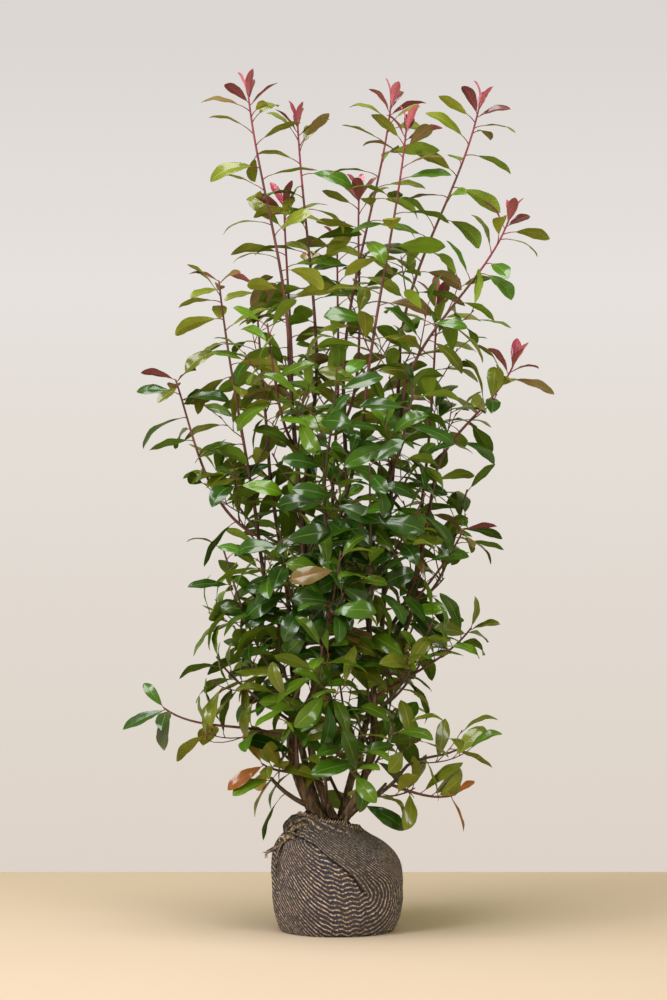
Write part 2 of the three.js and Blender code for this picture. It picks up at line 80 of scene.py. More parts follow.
# The collar's section: radius, shift of its middle, share of the way up from the shoulder.
COLLAR_FOOT = 197.0
COLLAR = np.array([
    (80, -25, -0.3), (77, -24.5, 0), (71, -22, 0.25), (66.5, -19.5, 0.5), (63.5, -18, 0.75),
    (62, -17, 0.92), (60.8, -17, 1.0), (59, -17, 0.98), (57, -17, 0.8), (55, -17, 0.4), (54, -17, 0),
])
COLLAR_COLUMNS = 300
STITCHES = 84

# The knot: where each fold of its cloth starts and heads, where it ends and heads, its radii.
KNOT_FOLDS = [
    ((-98, -47, 192), (0.3, 0.2, 1), (-52, -50, 218), (1, -0.2, 0.1), (8, 6)),
    ((-100, -40, 196), (0.1, 0.2, 1), (-58, -38, 227), (0.9, -0.1, 0.2), (8.5, 7)),
    ((-102, -30, 198), (0, 0.3, 1), (-70, -12, 230), (0.7, 0.5, 0.3), (8.5, 7)),
    ((-103, -18, 197), (0, 0.5, 1), (-76, 16, 228), (0.5, 0.8, 0.2), (8.5, 6)),
    ((-86, -56, 188), (-0.5, 0.1, 0.5), (-110, -34, 188), (-0.4, 0.8, -0.4), (7, 7)),
]
# The yarn tied round it: middle of each turn, radius and tilt.
TIES = [((-98, -48, 193), 11.5, 0.5), ((-103, -46, 188), 9.5, -0.4)]
TIE_RADIUS = 2.3
TAIL_START = (-103, -52, 186)
TAIL_END = np.array([-140.0, -56.0, 161.0])
# How many stray fibres the ball has, and frayed ends its tail.
FIBRES = 260
FRAYED_ENDS = 14
# The soil's mesh, and its loose crumbs, which lie up to some distance from its middle.
SOIL_ROWS = 34
SOIL_COLUMNS = 90
CRUMBS = 150
CRUMB_REACH = 50
# How far the blunt end of a tube stands out, as a share of its radius there.
BLUNT = 0.8

# Stems start some way under the soil. Each: foot on the soil, direction there, tip, direction
# there, radius at foot and tip, and how far the directions hold.
ROOTED = 20
STEMS = [
    ("stem_left", (-37, -8), (-0.55, 0, 0.85), (-66, 0, 640), (0.02, 0, 1), (11.5, 6.4), 0.5),
    ("stem_centre", (-9, 12), (-0.45, 0, 0.9), (2, 8, 682), (0.24, 0, 1), (8.5, 5.6), 0.45),
    ("stem_right", (14, -4), (0.55, 0, 0.85), (60, -4, 650), (-0.05, 0, 1), (8.5, 5.4), 0.42),
    ("stem_low_right", (12, -26), (0.42, 0, 0.9), (128, -62, 322), (0.5, -0.1, 0.85), (5, 3.4), 0.33),
    ("stem_back_left", (-32, 32), (-0.35, 0.3, 0.9), (-96, 106, 600), (-0.05, 0.1, 1), (8, 5), 0.4),
    ("stem_back_right", (9, 33), (0.2, 0.25, 0.95), (92, 112, 620), (0.05, 0, 1), (8, 5), 0.4),
]
# Boughs: the limb each grows on and how far along it, tip, radius at start and tip.
BOUGHS = [
    ("bough_top_left", "stem_left", 1, (-97, -30, 1165), (6, 3.6)),
    ("bough_left", "stem_left", 0.86, (-166, -20, 850), (4.6, 3.5)),
    ("bough_top_inner", "stem_centre", 0.93, (-42, 46, 1150), (4.6, 3.5)),
    ("bough_top_centre", "stem_centre", 1, (12, 0, 1100), (5.2, 3.6)),
    ("bough_top_front", "stem_centre", 0.8, (52, -62, 1030), (4.6, 3.6)),
    ("bough_right_high", "stem_right", 1, (128, -36, 1046), (5, 3.5)),
    ("bough_right", "stem_right", 0.84, (196, 26, 905), (4.6, 3.5)),
    ("bough_top_right", "stem_back_right", 1, (126, 74, 1150), (4.7, 3.6)),
    ("bough_back_right", "stem_back_right", 0.82, (178, 166, 890), (4.4, 3.5)),
    ("bough_back", "stem_back_left", 0.88, (-6, 172, 960), (4.4, 3.5)),
    ("bough_back_left", "stem_back_left", 1, (-140, 128, 940), (4.7, 3.5)),
]
# Leafy shoots: the limb each grows on and where, the tip of its twig, the share of it that
# bears side twigs, the start of the spiral of its leaves, and how its tip flushes.
SHOOTS = [
    ("top_left", "bough_top_left", 1, (-177, -42, 1662), 0.35, 160, "rose"),
    ("top_inner", "bough_top_inner", 1, (-80, 40, 1612), 0.35, 170, "rose"),
    ("top_centre", "bough_top_centre", 1, (107, 18, 1650), 0.3, 150, "rose"),
    ("top_front", "bough_top_front", 1, (136, -50, 1592), 0.35, 165, "rose"),
    ("top_right", "bough_top_right", 1, (286, 66, 1652), 0.35, 162, "rose"),
    ("right_high", "bough_right_high", 1, (340, -44, 1415), 0.45, 345, "rose"),
    ("upper_left", "bough_left", 1, (-236, -26, 1295), 0.4, 175, "bronze"),
    ("left_outer", "bough_left", 0.8, (-322, -34, 1098), 0.1, 180, "bronze"),
    ("right_outer", "bough_right", 1, (352, 12, 1128), 0.5, 350, "rose"),
    ("inner_left", "bough_top_left", 0.82, (-108, 70, 1455), 0.2, 20, "rose"),
    ("inner_back", "bough_top_centre", 0.8, (44, 104, 1480), 0.25, 75, "rose"),
    ("front_high", "bough_top_left", 0.62, (-138, -112, 1205), 0.5, 215, ""),
    ("front_centre", "bough_top_front", 0.5, (-2, -150, 1110), 0.6, 145, ""),
    ("front_right", "bough_right_high", 0.5, (148, -140, 1075), 0.5, 275, ""),
    ("front_inner", "stem_right", 0.9, (62, -150, 930), 0.6, 20, ""),
    ("right_front", "stem_centre", 0.9, (172, -130, 872), 0.5, 95, ""),
    ("right_mid", "bough_right", 0.2, (250, -40, 800), 0.5, 15, "bronze"),
    ("left_mid", "stem_left", 0.66, (-228, -40, 765), 0.6, 185, ""),
    ("left_low", "stem_left", 0.52, (-240, -52, 548), 0.6, 35, ""),
    ("left_long", "stem_left", 0.42, (-345, -40, 446), 0.25, 47, "deep"),
    ("left_foot", "stem_left", 0.24, (-150, -40, 335), 0.3, 40, "ageing"),
    ("front_foot", "stem_centre", 0.2, (30, -130, 400), 0.45, 340, ""),
    ("front_low", "stem_centre", 0.42, (-30, -150, 575), 0.6, 130, ""),
    ("front_left", "stem_left", 0.92, (-112, -150, 800), 0.5, 230, ""),
    ("front_mid", "stem_centre", 0.66, (6, -160, 760), 0.65, 310, ""),
    ("right_low", "stem_right", 0.55, (190, -96, 628), 0.55, 70, ""),
    ("right_reach", "stem_right", 0.62, (268, 18, 602), 0.5, 155, "olive"),
    ("front_right_foot", "stem_right", 0.22, (112, -112, 420), 0.5, 190, ""),
    ("right_foot", "stem_low_right", 1, (250, -60, 374), 0.3, 265, ""),
    ("right_ground", "stem_low_right", 0.8, (232, -100, 280), 0.2, 100, "rust"),
    ("back_top", "bough_back", 1, (0, 176, 1380), 0.5, 15, "rose"),
    ("back_top_left", "bough_back_left", 1, (-168, 160, 1300), 0.5, 170, "bronze"),
    ("back_top_right", "bough_back_right", 1, (206, 188, 1270), 0.5, 240, "rose"),
    ("back_left", "bough_back_left", 0.5, (-250, 160, 930), 0.5, 50, ""),
    ("back_right", "bough_back_right", 0.4, (266, 150, 880), 0.5, 320, ""),
    ("back_mid", "bough_back", 0.3, (10, 262, 850), 0.5, 110, ""),
    ("back_low_left", "stem_back_left", 0.6, (-214, 190, 600), 0.5, 205, ""),
    ("back_low_right", "stem_back_right", 0.55, (206, 200, 585), 0.5, 295, ""),
    ("back_foot", "stem_back_right", 0.36, (2, 210, 500), 0.5, 135, ""),
]
FOLIAGE_NODES = [f"foliage_{row[0]}" for row in SHOOTS]
# Shoots whose tips lie nearer than this reach this much further forward than in the solids,
# where larger leaves reach as far.
FRONT_SHOOTS = -130
FRONT_MORE = 38
# Thinner than the solids' twigs, which are thick enough to stay whole.
SHOOT_RADII = (3.3, 1.8)
LEAST_RADIUS = 1.1
# Twigs that end above this height have red bark. The tips that flush rose have rose-red wood.
RED_WOOD_FROM = 1150
ROSE_WOOD = 130
# The tint of a shoot's leaves goes by the height of its lower ones.
LOWER_LEAVES = 150

# Side twigs: lengths low and high on the shoot, share of it before the first, distance between
# them, lean from the shoot. Long ones bear a finer twig each, some way along. Spurs are such
# twigs along the stems and boughs, but for the ends.
SIDE_LENGTHS = (125, 55)
FIRST_SIDE = 0.08
SIDE_GAP = 50
SIDE_LEAN = 46
LONG_SIDE = 85
FINE_LENGTHS = (80, 50)
FINE_AT = 0.4
SPUR_LENGTHS = (120, 60)
SPUR_GAP = 66
LOWEST_SPUR = 228
LAST_SPUR = 0.97
# Side twigs start below this height, and finer ones below the next.
SINGLE_SHOOTS = 1260
FINE_TWIGS = 960
# Share of the side twigs that are missing in the upper crown, where the sky shows through.
OPEN_CROWN = 0.4
# Openings in the crown, where the sky shows: middle in x and z, half the width and height.
OPENINGS = [
    (235, 491, 60, 66), (249, 689, 46, 52), (-235, 335, 76, 54), (-303, 479, 34, 66),
    (-290, 838, 70, 54), (-335, 919, 40, 44), (341, 1035, 36, 36), (29, 1440, 32, 50),
    (219, 417, 46, 26), (199, 229, 30, 40), (257, 323, 22, 26), (137, 711, 20, 26),
    (193, 757, 24, 20), (-203, 815, 28, 22), (-219, 989, 40, 30), (-139, 925, 26, 20),
    (149, 1049, 24, 26), (249, 1095, 26, 26), (81, 1227, 24, 28), (-203, 1263, 38, 32),
    (-91, 1263, 24, 32), (-31, 1236, 26, 38), (225, 1375, 44, 26), (305, 1263, 34, 24),
    (305, 1431, 24, 22), (-31, 1151, 22, 24), (-91, 1300, 20, 16), (215, 350, 26, 20),
    (-69, 217, 18, 18),
]

# Leaves: lengths of the blade and of the stalk, low in the crown and high up.
LEAF_LENGTHS = (92, 86)
LEAF_WIDTH = 0.425
STALK_LENGTHS = (12, 22)
LOW_CROWN = 850
HIGH_CROWN = 1450
# They ripen over some distance from their twig's tip, which is longer high up: they grow,
# spread from the first angle to the second, and sag.
RIPENS = (45, 90)
SPREAD = (36, 72)
SAG = 0.5
# How far chance turns them about their length, and up or down, in degrees.
ROLL = 105
LIFT = 40
# How far the faces of leaves low in the crown turn outward.
FACES_OUT = 0.45
# The first leaf's distance from the tip, and that between leaves, which is less on the shoots
# that flush. The foot of a twig is bare.
FIRST_LEAF = 8
LEAF_GAP = 37
FLUSHING_GAP = 0.62
BARE_FOOT = 50
# From leaf to leaf the spiral turns by a third, and drifts.
SPIRAL_TURN = 120
SPIRAL_DRIFT = 17.5
# How far the leaves of a shoot turn towards its two broad sides, and by chance, in degrees.
TWO_SIDED = 0.45
LEAF_JITTER = 24
# Least distance between the middles of two leaves, and of a leaf from a limb.
LEAF_ROOM = 25
LIMB_ROOM = 11
# Places along a leaf and across it at which its skin has points.
STATIONS = np.array([0, 0.05, 0.13, 0.22, 0.32, 0.42, 0.52, 0.62, 0.71, 0.8, 0.88, 0.95, 1.0])
COLUMNS = np.array([-1, -0.55, -0.05, 0.05, 0.55, 1])

# Tufts of leaves at the tips of shoots: their tints from the innermost on, how far the inner
# and the outer ones spread, how long they are, how much the outer ones hang, how far they
# turn their faces to the bright side, and how long the shoot is bare below them.
FLUSHES = {
    "rose": (("rose", "rose", "wine", "wine", "wine"), (8, 60), (50, 78), 0.0, 0.0, 24),
    "bronze": (("wine", "bronze", "bronze", "olive"), (52, 88), (62, 78), 0.5, 0.0, 24),
    "rust": (("rust", "rust", "rust"), (45, 85), (48, 74), 1.0, 0.0, 24),
    "olive": (("olive", "olive", "green", "olive"), (15, 85), (64, 96), 0.9, 0.6, 24),
    "deep": (("green", "deep", "deep", "deep"), (10, 90), (72, 106), 1.9, 0.8, 110),
    "ageing": (("ageing", "rust", "olive", "ageing"), (20, 90), (72, 100), 1.5, 1.2, 24),
}
# Distance between the leaves of a tuft, and length of their stalks.
TUFT_GAP = 5
TUFT_STALK = 6
UP = np.array([0.0, 0.0, 1.0])
BRIGHT_SIDE = np.array([0.0, -1.0, 0.0])

# The tints of sprays from each height up, each with the luck up to which it comes.
SPRAY_TINTS = (
    (1330, (("olive", 0.3), ("fresh", 0.65), ("green", 1.0))),
    (1000, (("olive", 0.08), ("fresh", 0.34), ("green", 0.78), ("deep", 1.0))),
    (0, (("fresh", 0.16), ("green", 0.52), ("deep", 1.0))),
)
# Low shoots with tints of their own: the usual one and the other.
TURNING_SHOOTS = {
    "left_foot": ("ageing", "olive"), "right_ground": ("olive", "fresh"), "right_foot": ("olive", "fresh"),
}
# Some leaves turn olive below the first height, and most below the second. Above the third,
# more are bronze.
OLIVE_BELOW = 560
MOSTLY_OLIVE_BELOW = 300
BRONZE_ABOVE = 1100
# Each tint: upper side, lower side and midrib.
TINTS = {
    "deep": ((0.018, 0.060, 0.004), (0.09, 0.16, 0.012), (0.09, 0.17, 0.02)),
    "green": ((0.042, 0.112, 0.005), (0.125, 0.205, 0.014), (0.13, 0.22, 0.025)),
    "fresh": ((0.080, 0.160, 0.007), (0.18, 0.26, 0.03), (0.2, 0.27, 0.035)),
    "lime": ((0.11, 0.235, 0.006), (0.21, 0.32, 0.03), (0.25, 0.32, 0.05)),
    "olive": ((0.118, 0.146, 0.009), (0.23, 0.255, 0.03), (0.27, 0.22, 0.05)),
    "rose": ((0.46, 0.06, 0.12), (0.60, 0.17, 0.23), (0.58, 0.12, 0.18)),
    "wine": ((0.12, 0.025, 0.028), (0.25, 0.075, 0.075), (0.36, 0.07, 0.08)),
    "bronze": ((0.13, 0.085, 0.022), (0.21, 0.16, 0.055), (0.33, 0.1, 0.06)),
    "rust": ((0.24, 0.075, 0.015), (0.33, 0.16, 0.05), (0.3, 0.14, 0.05)),
    "ageing": ((0.30, 0.2, 0.02), (0.34, 0.26, 0.06), (0.36, 0.24, 0.08)),
}
# The bark of twigs and stalks, by piece: name of the look, dark, light and pores.
TWIG_TINTS = {
    "twigs_old": ("twig_old", (0.05, 0.032, 0.022), (0.13, 0.075, 0.045), (0.2, 0.15, 0.1)),
    "twigs_young": ("twig_young", (0.08, 0.025, 0.026), (0.19, 0.062, 0.052), (0.3, 0.18, 0.15)),
    "twigs_rose": ("twig_rose", (0.17, 0.022, 0.045), (0.36, 0.06, 0.10), (0.45, 0.2, 0.2)),
    "leaf_stalks": ("stalk", (0.16, 0.03, 0.03), (0.28, 0.085, 0.05), (0.33, 0.16, 0.09)),
}
# Yarn colours: tan and navy of the sack, a greyer navy for the lap, and near-black yarn for the knot.
TAN = (0.46, 0.33, 0.235)
NAVY = (0.046, 0.047, 0.072)
LAP_NAVY = (0.068, 0.062, 0.074)
KNOT_DARK_YARN = (0.03, 0.026, 0.025)


def chance(seed, draw):
    """A number from 0 to 1 that depends only on the two given."""
    wave = math.sin(seed * 12.9898 + draw * 78.233) * 43758.5453
    return wave - math.floor(wave)


def unit(values):
    values = np.asarray(values, float)
    return values / np.linalg.norm(values)


def blend(a, b, t):
    return a + (b - a) * t


def taper(start, end):
    """A radius that goes evenly from one value to another along a tube."""
    return lambda t: blend(start, end, t)


def smoothstep(value, low, high):
    t = np.clip((value - low) / (high - low), 0, 1)
    return t * t * (3 - 2 * t)


def turned(vector, axis, angle):
    """A vector turned about an axis by an angle."""
    return (vector * math.cos(angle) + np.cross(axis, vector) * math.sin(angle)
            + axis * np.dot(axis, vector) * (1 - math.cos(angle)))


def across(direction):
    """Two directions square to a line and to each other."""
    aside = np.array([1.0, 0, 0]) if abs(direction[1]) > 0.9 else np.array([0, 1.0, 0])
    first = unit(np.cross(aside, direction))
    return first, np.cross(direction, first)


def rough(points, scale, seed):
    """Smooth noise at each point, from about -1 to 1."""
    spots = points.reshape(-1, 3) / scale + seed * 7.3
    return np.array([noise.noise(Vector(spot)) for spot in spots]).reshape(points.shape[:-1])


class Line:
    """A limb's centre line, a cubic that sets out along one direction and ends along another.
    The directions hold for some share of its reach."""

    def __init__(self, start, sets, tip, ends, pull=0.33):
        start = np.asarray(start, float)
        tip = np.asarray(tip, float)
        reach = np.linalg.norm(tip - start) * pull
        self.corners = np.array([start, start + unit(sets) * reach, tip - unit(ends) * reach, tip])
        steps = self.at(np.linspace(0, 1, 25))
        self.length = float(np.linalg.norm(np.diff(steps, axis=0), axis=1).sum())

    def at(self, t):
        t = np.asarray(t, float)[..., None]
        a, b, c, d = self.corners
        s = 1 - t
        return a * s**3 + 3 * b * s * s * t + 3 * c * s * t * t + d * t**3

    def tangent(self, t):
        a, b, c, d = self.corners
        s = 1 - t
        return unit((b - a) * s * s + 2 * (c - b) * s * t + (d - c) * t * t)

    def outward(self, t, angle):
        """The direction away from the line at an angle round it."""
        first, second = across(self.tangent(t))
        return first * math.cos(angle) + second * math.sin(angle)


@dataclass
class Twig:
    line: Line
    radii: tuple
    turn: float
    seed: float
    tint: str
    shoot: str = ""
    flush: str = ""

    def radius(self, t):
        return blend(*self.radii, t)


@dataclass
class Leaf:
    stalk_root: np.ndarray
    stalk_sets: np.ndarray
    root: np.ndarray
    axis: np.ndarray
    face: np.ndarray
    length: float
    width: float
    fold: float
    bend: float
    twist: float
    wave: float
    tint: str

    def point(self, share):
        """The point at a share of the leaf's length, were it straight."""
        return self.root + self.axis * self.length * share


def linked(name, data):
    """An object of the scene for a mesh, a lamp or a camera."""
    made = bpy.data.objects.new(name, data)
    bpy.context.scene.collection.objects.link(made)
    return made


class Heap:
    """Points and triangles that are joined into one mesh. Places give each point, or each
    corner of a triangle, its spot in the material's pattern."""

    def __init__(self):
        self.points = []
        self.triangles = []
        self.slots = []
        self.places = []
        self.corner_places = None
        self.count = 0

    def add(self, points, triangles, slot=0, places=None):
        points = np.asarray(points, float).reshape(-1, 3)
        self.points.append(points)
        self.triangles.append(triangles + self.count)
        self.slots.append(np.broadcast_to(slot, len(triangles)))
        self.places.append(np.zeros((len(points), 2)) if places is None else places)
        self.count += len(points)

    def make_piece(self, name, looks, slot, nodes, sharp=100):
        """Makes the heap a piece in metres that rides on the part and stands for some nodes. Its edges are
        kept sharp from some angle on. The slot it is given is not used."""
        triangles = np.concatenate(self.triangles)
        mesh = bpy.data.meshes.new(name)
        mesh.from_pydata((np.concatenate(self.points) * MM).tolist(), [], triangles.tolist())
        for look in looks:
            mesh.materials.append(look)
        mesh.polygons.foreach_set("material_index", np.concatenate(self.slots).astype(np.int32))
        spots = self.corner_places
        if spots is None:
            spots = np.concatenate(self.places)[triangles.ravel()]
        mesh.uv_layers.new(name="pattern").data.foreach_set("uv", spots.astype(np.float32).ravel())
        mesh.shade_smooth()
        mesh.set_sharp_from_angle(angle=math.radians(sharp))
        made = linked(name, mesh)
        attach(made, "root")
        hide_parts(*nodes)


def grid_triangles(rows, columns, closed=False, turned_from=None):
    """Triangles of a grid of points. A closed grid joins its last column to its first. From
    some column on, the quads may be split along their other diagonal."""
    r = np.arange(rows - 1)[:, None]
    c = np.arange(columns if closed else columns - 1)[None, :]
    a = r * columns + c
    b = r * columns + (c + 1) % columns
    quads = np.stack([a, b, b + columns, a + columns], axis=-1)
    if turned_from is not None:
        quads[:, turned_from:] = np.roll(quads[:, turned_from:], -1, axis=2)
    quads = quads.reshape(-1, 4)
    return np.concatenate([quads[:, [0, 1, 2]], quads[:, [0, 2, 3]]])


def add_tube(heap, line, radius, sides, rings, slot=0, relief=None, span=(0, 1)):
    """A closed tube along a span of a centre line. relief(points, t, angles) thickens it."""
    shares = np.linspace(0, 1, rings)
    ts = blend(*span, shares)
    angles = np.arange(sides) * 2 * math.pi / sides
    centres = line.at(ts)
    points = np.empty((rings, sides, 3))
    for i, t in enumerate(ts):
        first, second = across(line.tangent(t))
        round_it = np.cos(angles)[:, None] * first + np.sin(angles)[:, None] * second
        size = np.full(sides, float(radius(t)))
        if relief is not None:
            size = size * relief(centres[i] + round_it * size[:, None], t, angles)
        points[i] = centres[i] + round_it * size[:, None]
    tip = centres[-1] + line.tangent(ts[-1]) * radius(ts[-1]) * BLUNT
    all_points = np.concatenate([points.reshape(-1, 3), centres[:1], tip[None]])
    around = np.arange(sides)
    last = (rings - 1) * sides
    fan = np.stack([around, np.roll(around, -1), np.full(sides, rings * sides)], axis=-1)
    caps = [fan[:, ::-1], fan + (last, last, 1)]
    triangles = np.concatenate([grid_triangles(rings, sides, closed=True), *caps])
    length = line.length * (span[1] - span[0])
    along = np.repeat(shares * length / RIB, sides)
    places = np.stack([np.tile(angles / math.pi, rings), along], axis=-1)
    heap.add(all_points, triangles, slot, np.concatenate([places, np.zeros((2, 2))]))


# Materials

class Nodes:
    """A node tree, with short ways to add to it."""

    def __init__(self, tree):
        self.tree = tree

    def add(self, kind, inputs=None, **settings):
        """A node. Each of its inputs is a value or another node's output."""
        made = self.tree.nodes.new(kind)
        for name, value in settings.items():
            setattr(made, name, value)
        for name, value in (inputs or {}).items():
            socket = made.inputs[name]
            if isinstance(value, bpy.types.NodeSocket):
                self.tree.links.new(value, socket)
            else:
                socket.default_value = (*value, 1) if socket.type == "RGBA" else value
        return made

    def ramp(self, factor, *stops):
        """Colours at places from 0 to 1."""
        made = self.add("ShaderNodeValToRGB", {"Fac": factor})
        colours = made.color_ramp.elements
        while len(colours) < len(stops):
            colours.new(1.0)
        for element, (place, colour) in zip(colours, stops):
            element.position = place
            element.color = (*colour, 1)
        return made.outputs["Color"]


class Look(Nodes):
    """A Principled material."""

    def __init__(self, name, **fixed):
        self.material = bpy.data.materials.new(name)
        self.material.use_nodes = True
        super().__init__(self.material.node_tree)
        self.shader = self.tree.nodes["Principled BSDF"]
        for socket, value in fixed.items():
            self.shader.inputs[socket.replace("_", " ")].default_value = value

    def place(self, along=1):
        """Position on the part, stretched upward by a small number."""
        spot = self.add("ShaderNodeTexCoord").outputs["Object"]
        return self.add("ShaderNodeMapping", {"Vector": spot, "Scale": (1, 1, along)}).outputs["Vector"]

    def pattern(self):
        """The two numbers of the place in the pattern."""
        spot = self.add("ShaderNodeUVMap", uv_map="pattern").outputs["UV"]
        return self.add("ShaderNodeSeparateXYZ", {"Vector": spot}).outputs[:2]

    def noise(self, scale, detail=3.0, along=1, distortion=0.0):
        inputs = {"Vector": self.place(along), "Scale": scale, "Detail": detail, "Distortion": distortion}
        return self.add("ShaderNodeTexNoise", inputs).outputs["Fac"]

    def cells(self, scale, along):
        return self.add("ShaderNodeTexVoronoi", {"Vector": self.place(along), "Scale": scale}).outputs

    def math(self, operation, a, b=0.0):
        return self.add("ShaderNodeMath", {0: a, 1: b}, operation=operation).outputs[0]

    def mix(self, factor, a, b):
        return self.add("ShaderNodeMixRGB", {"Fac": factor, "Color1": a, "Color2": b}).outputs["Color"]

    def drive(self, socket, output):
        self.tree.links.new(output, self.shader.inputs[socket])

    def rough(self, factor, low, high):
        spread = self.add("ShaderNodeMapRange", {"Value": factor, "To Min": low, "To Max": high})
        self.drive("Roughness", spread.outputs["Result"])

    def bump(self, height, depth, strength):
        made = self.add("ShaderNodeBump", {"Height": height, "Distance": depth, "Strength": strength})
        self.drive("Normal", made.outputs["Normal"])


def shade(colour, factor):
    return tuple(min(1.0, channel * factor) for channel in colour)


GREY = (0.35, 0.35, 0.35)
BLACK = (0, 0, 0)


def leaf_look(name, colour, glossy):
    """One side of a leaf: veins by its pattern place, swept back from the midrib, and every
    leaf a little different."""
    if glossy:
        look = Look(name, Coat_Weight=0.7, Coat_Roughness=0.15, Specular_IOR_Level=0.2)
    else:
        look = Look(name, Specular_IOR_Level=0.08)
    each = look.add("ShaderNodeNewGeometry").outputs["Random Per Island"]
    variety = look.math("MULTIPLY", look.math("ADD", each, look.noise(26.0, 4.0)), 0.5)
    base = look.ramp(variety, (0.2, shade(colour, 0.66)), (0.5, colour), (0.85, shade(colour, 1.45)))
    along, aside = look.pattern()
    swept = look.math("MULTIPLY", look.math("ABSOLUTE", aside), 0.17)
    phase = look.math("SUBTRACT", along, swept)
    veins = look.math("ABSOLUTE", look.math("SINE", look.math("MULTIPLY", phase, 34.0)))
    ridge = look.math("POWER", look.math("SUBTRACT", 1.0, veins), 5.0)
    look.drive("Base Color", look.mix(look.math("MULTIPLY", ridge, 0.2), base, shade(colour, 1.9)))
    look.rough(look.noise(60.0), *((0.24, 0.38) if glossy else (0.55, 0.7)))
    swell = look.noise(45.0, 0.0)
    look.bump(look.math("ADD", look.math("MULTIPLY", ridge, 0.06), swell), 0.0012, 0.4)
    return look.material


def rib_look(name, colour):
    """The midrib of a leaf, with a faint change along it."""
    look = Look(name, Specular_IOR_Level=0.35)
    look.drive("Base Color", look.mix(look.noise(40.0), shade(colour, 0.75), shade(colour, 1.2)))
    look.rough(look.noise(90.0), 0.4, 0.6)
    return look.material


def twig_look(name, dark, light, speck):
    """Smooth young bark with pale breathing pores."""
    look = Look(name, Specular_IOR_Level=0.35)
    streaks = look.noise(60.0, 4.0, 0.3)
    base = look.ramp(streaks, (0.3, dark), (0.7, light))
    pores = look.math("LESS_THAN", look.cells(240.0, 0.5)["Distance"], 0.17)
    look.drive("Base Color", look.mix(look.math("MULTIPLY", pores, 0.6), base, speck))
    look.rough(streaks, 0.45, 0.7)
    look.bump(look.math("ADD", streaks, pores), 0.0004, 0.6)
    return look.material


def bark_look(name, dark, light, fissure):
    """Grey-brown bark: cracks along the limb, scales between them and a little green film."""
    look = Look(name, Specular_IOR_Level=0.2)
    cracks = look.noise(150.0, 6.0, 0.22, 0.6)
    base = look.ramp(cracks, (0.32, fissure), (0.48, dark), (0.72, light))
    film = look.ramp(look.noise(28.0, 4.0), (0.55, BLACK), (0.8, GREY))
    look.drive("Base Color", look.mix(film, base, (0.10, 0.11, 0.05)))
    look.rough(cracks, 0.95, 0.75)
    look.bump(cracks, 0.0016, 0.9)
    return look.material


def jute_look(name, tan, navy, share):
    """Striped jute: tan ribs raised between bands of dark yarn, by the pattern place."""
    look = Look(name, Sheen_Weight=0.06, Sheen_Roughness=0.6, Specular_IOR_Level=0.1)
    wobble = look.math("MULTIPLY", look.math("SUBTRACT", look.noise(230.0), 0.5), 0.62)
    stripe = look.math("FRACT", look.math("ADD", look.pattern()[0], wobble))
    centred = look.math("ABSOLUTE", look.math("SUBTRACT", stripe, 0.5))
    edges = {"Value": centred, "From Min": share, "From Max": share * 0.35}
    rib = look.add("ShaderNodeMapRange", edges).outputs["Result"]
    yarn = look.noise(900.0, 4.0, 1.3)
    strands = look.cells(330.0, 0.7)
    stitch = look.add("ShaderNodeSeparateColor", {"Color": strands["Color"]}).outputs["Red"]
    tan_yarn = look.ramp(stitch, (0.1, shade(tan, 0.3)), (0.5, tan), (0.9, shade(tan, 1.9)))
    dark_yarn = look.ramp(yarn, (0.3, shade(navy, 0.4)), (0.55, navy), (0.74, shade(navy, 3.0)))
    faded = look.ramp(look.noise(22.0, 4.0), (0.45, BLACK), (0.8, GREY))
    striped = look.mix(rib, dark_yarn, tan_yarn)
    look.drive("Base Color", look.mix(faded, striped, shade(tan, 0.3)))
    look.rough(yarn, 0.9, 1.0)
    knots = look.math("MULTIPLY", strands["Distance"], 0.5)
    height = look.math("ADD", look.math("MULTIPLY", rib, 0.7), knots)
    look.bump(look.math("ADD", height, yarn), 0.0012, 0.9)
    return look.material


def soil_look():
    """Dark crumbly soil with paler grit."""
    look = Look("soil", Specular_IOR_Level=0.15)
    crumbs = look.noise(300.0, 8.0)
    grit = (0.11, 0.08, 0.05)
    base = look.ramp(crumbs, (0.3, (0.008, 0.006, 0.004)), (0.6, (0.035, 0.024, 0.016)), (0.8, grit))
    look.drive("Base Color", base)
    look.rough(crumbs, 0.85, 1.0)
    look.bump(crumbs, 0.004, 1.0)
    return look.material


def floor_look():
    """A plain pale floor with a faint change of tone."""
    look = Look("floor", Roughness=0.75, Specular_IOR_Level=0.1)
    look.drive("Base Color", look.mix(look.noise(0.8, 2.0), (0.605, 0.482, 0.392), (0.648, 0.518, 0.425)))
    return look.material


# Growth

def grow_limbs():
    """The centre line and radii of every stem and bough."""
    limbs = {}
    for name, foot, sets, tip, ends, radii, pull in STEMS:
        heading = unit(sets)
        start = np.array([*foot, SOIL_TOP]) - heading * ROOTED / heading[2]
        limbs[name] = (Line(start, heading, tip, ends, pull), radii)
    for name, on, at, tip, radii in BOUGHS:
        limbs[name] = (branch_line(limbs, on, at, tip, 1), radii)
    return limbs


def branch_line(limbs, on, at, tip, uplift):
    """The centre line of what grows on a limb, from within that limb to a tip."""
    line, _ = limbs[on]
    start = line.at(at)
    heading = line.tangent(at)
    aim = np.asarray(tip, float) - start
    sets = heading
    if at < 1:
        sets = unit(heading * 0.6 + unit(aim - heading * np.dot(aim, heading)))
    return Line(start, sets, tip, unit(unit(aim) + UP * uplift))


def tint_of(z, luck):
    """The colour of a spray's leaves, by its height and by chance."""
    tints = next(tints for height, tints in SPRAY_TINTS if z > height)
    return next(tint for tint, limit in tints if luck <= limit)


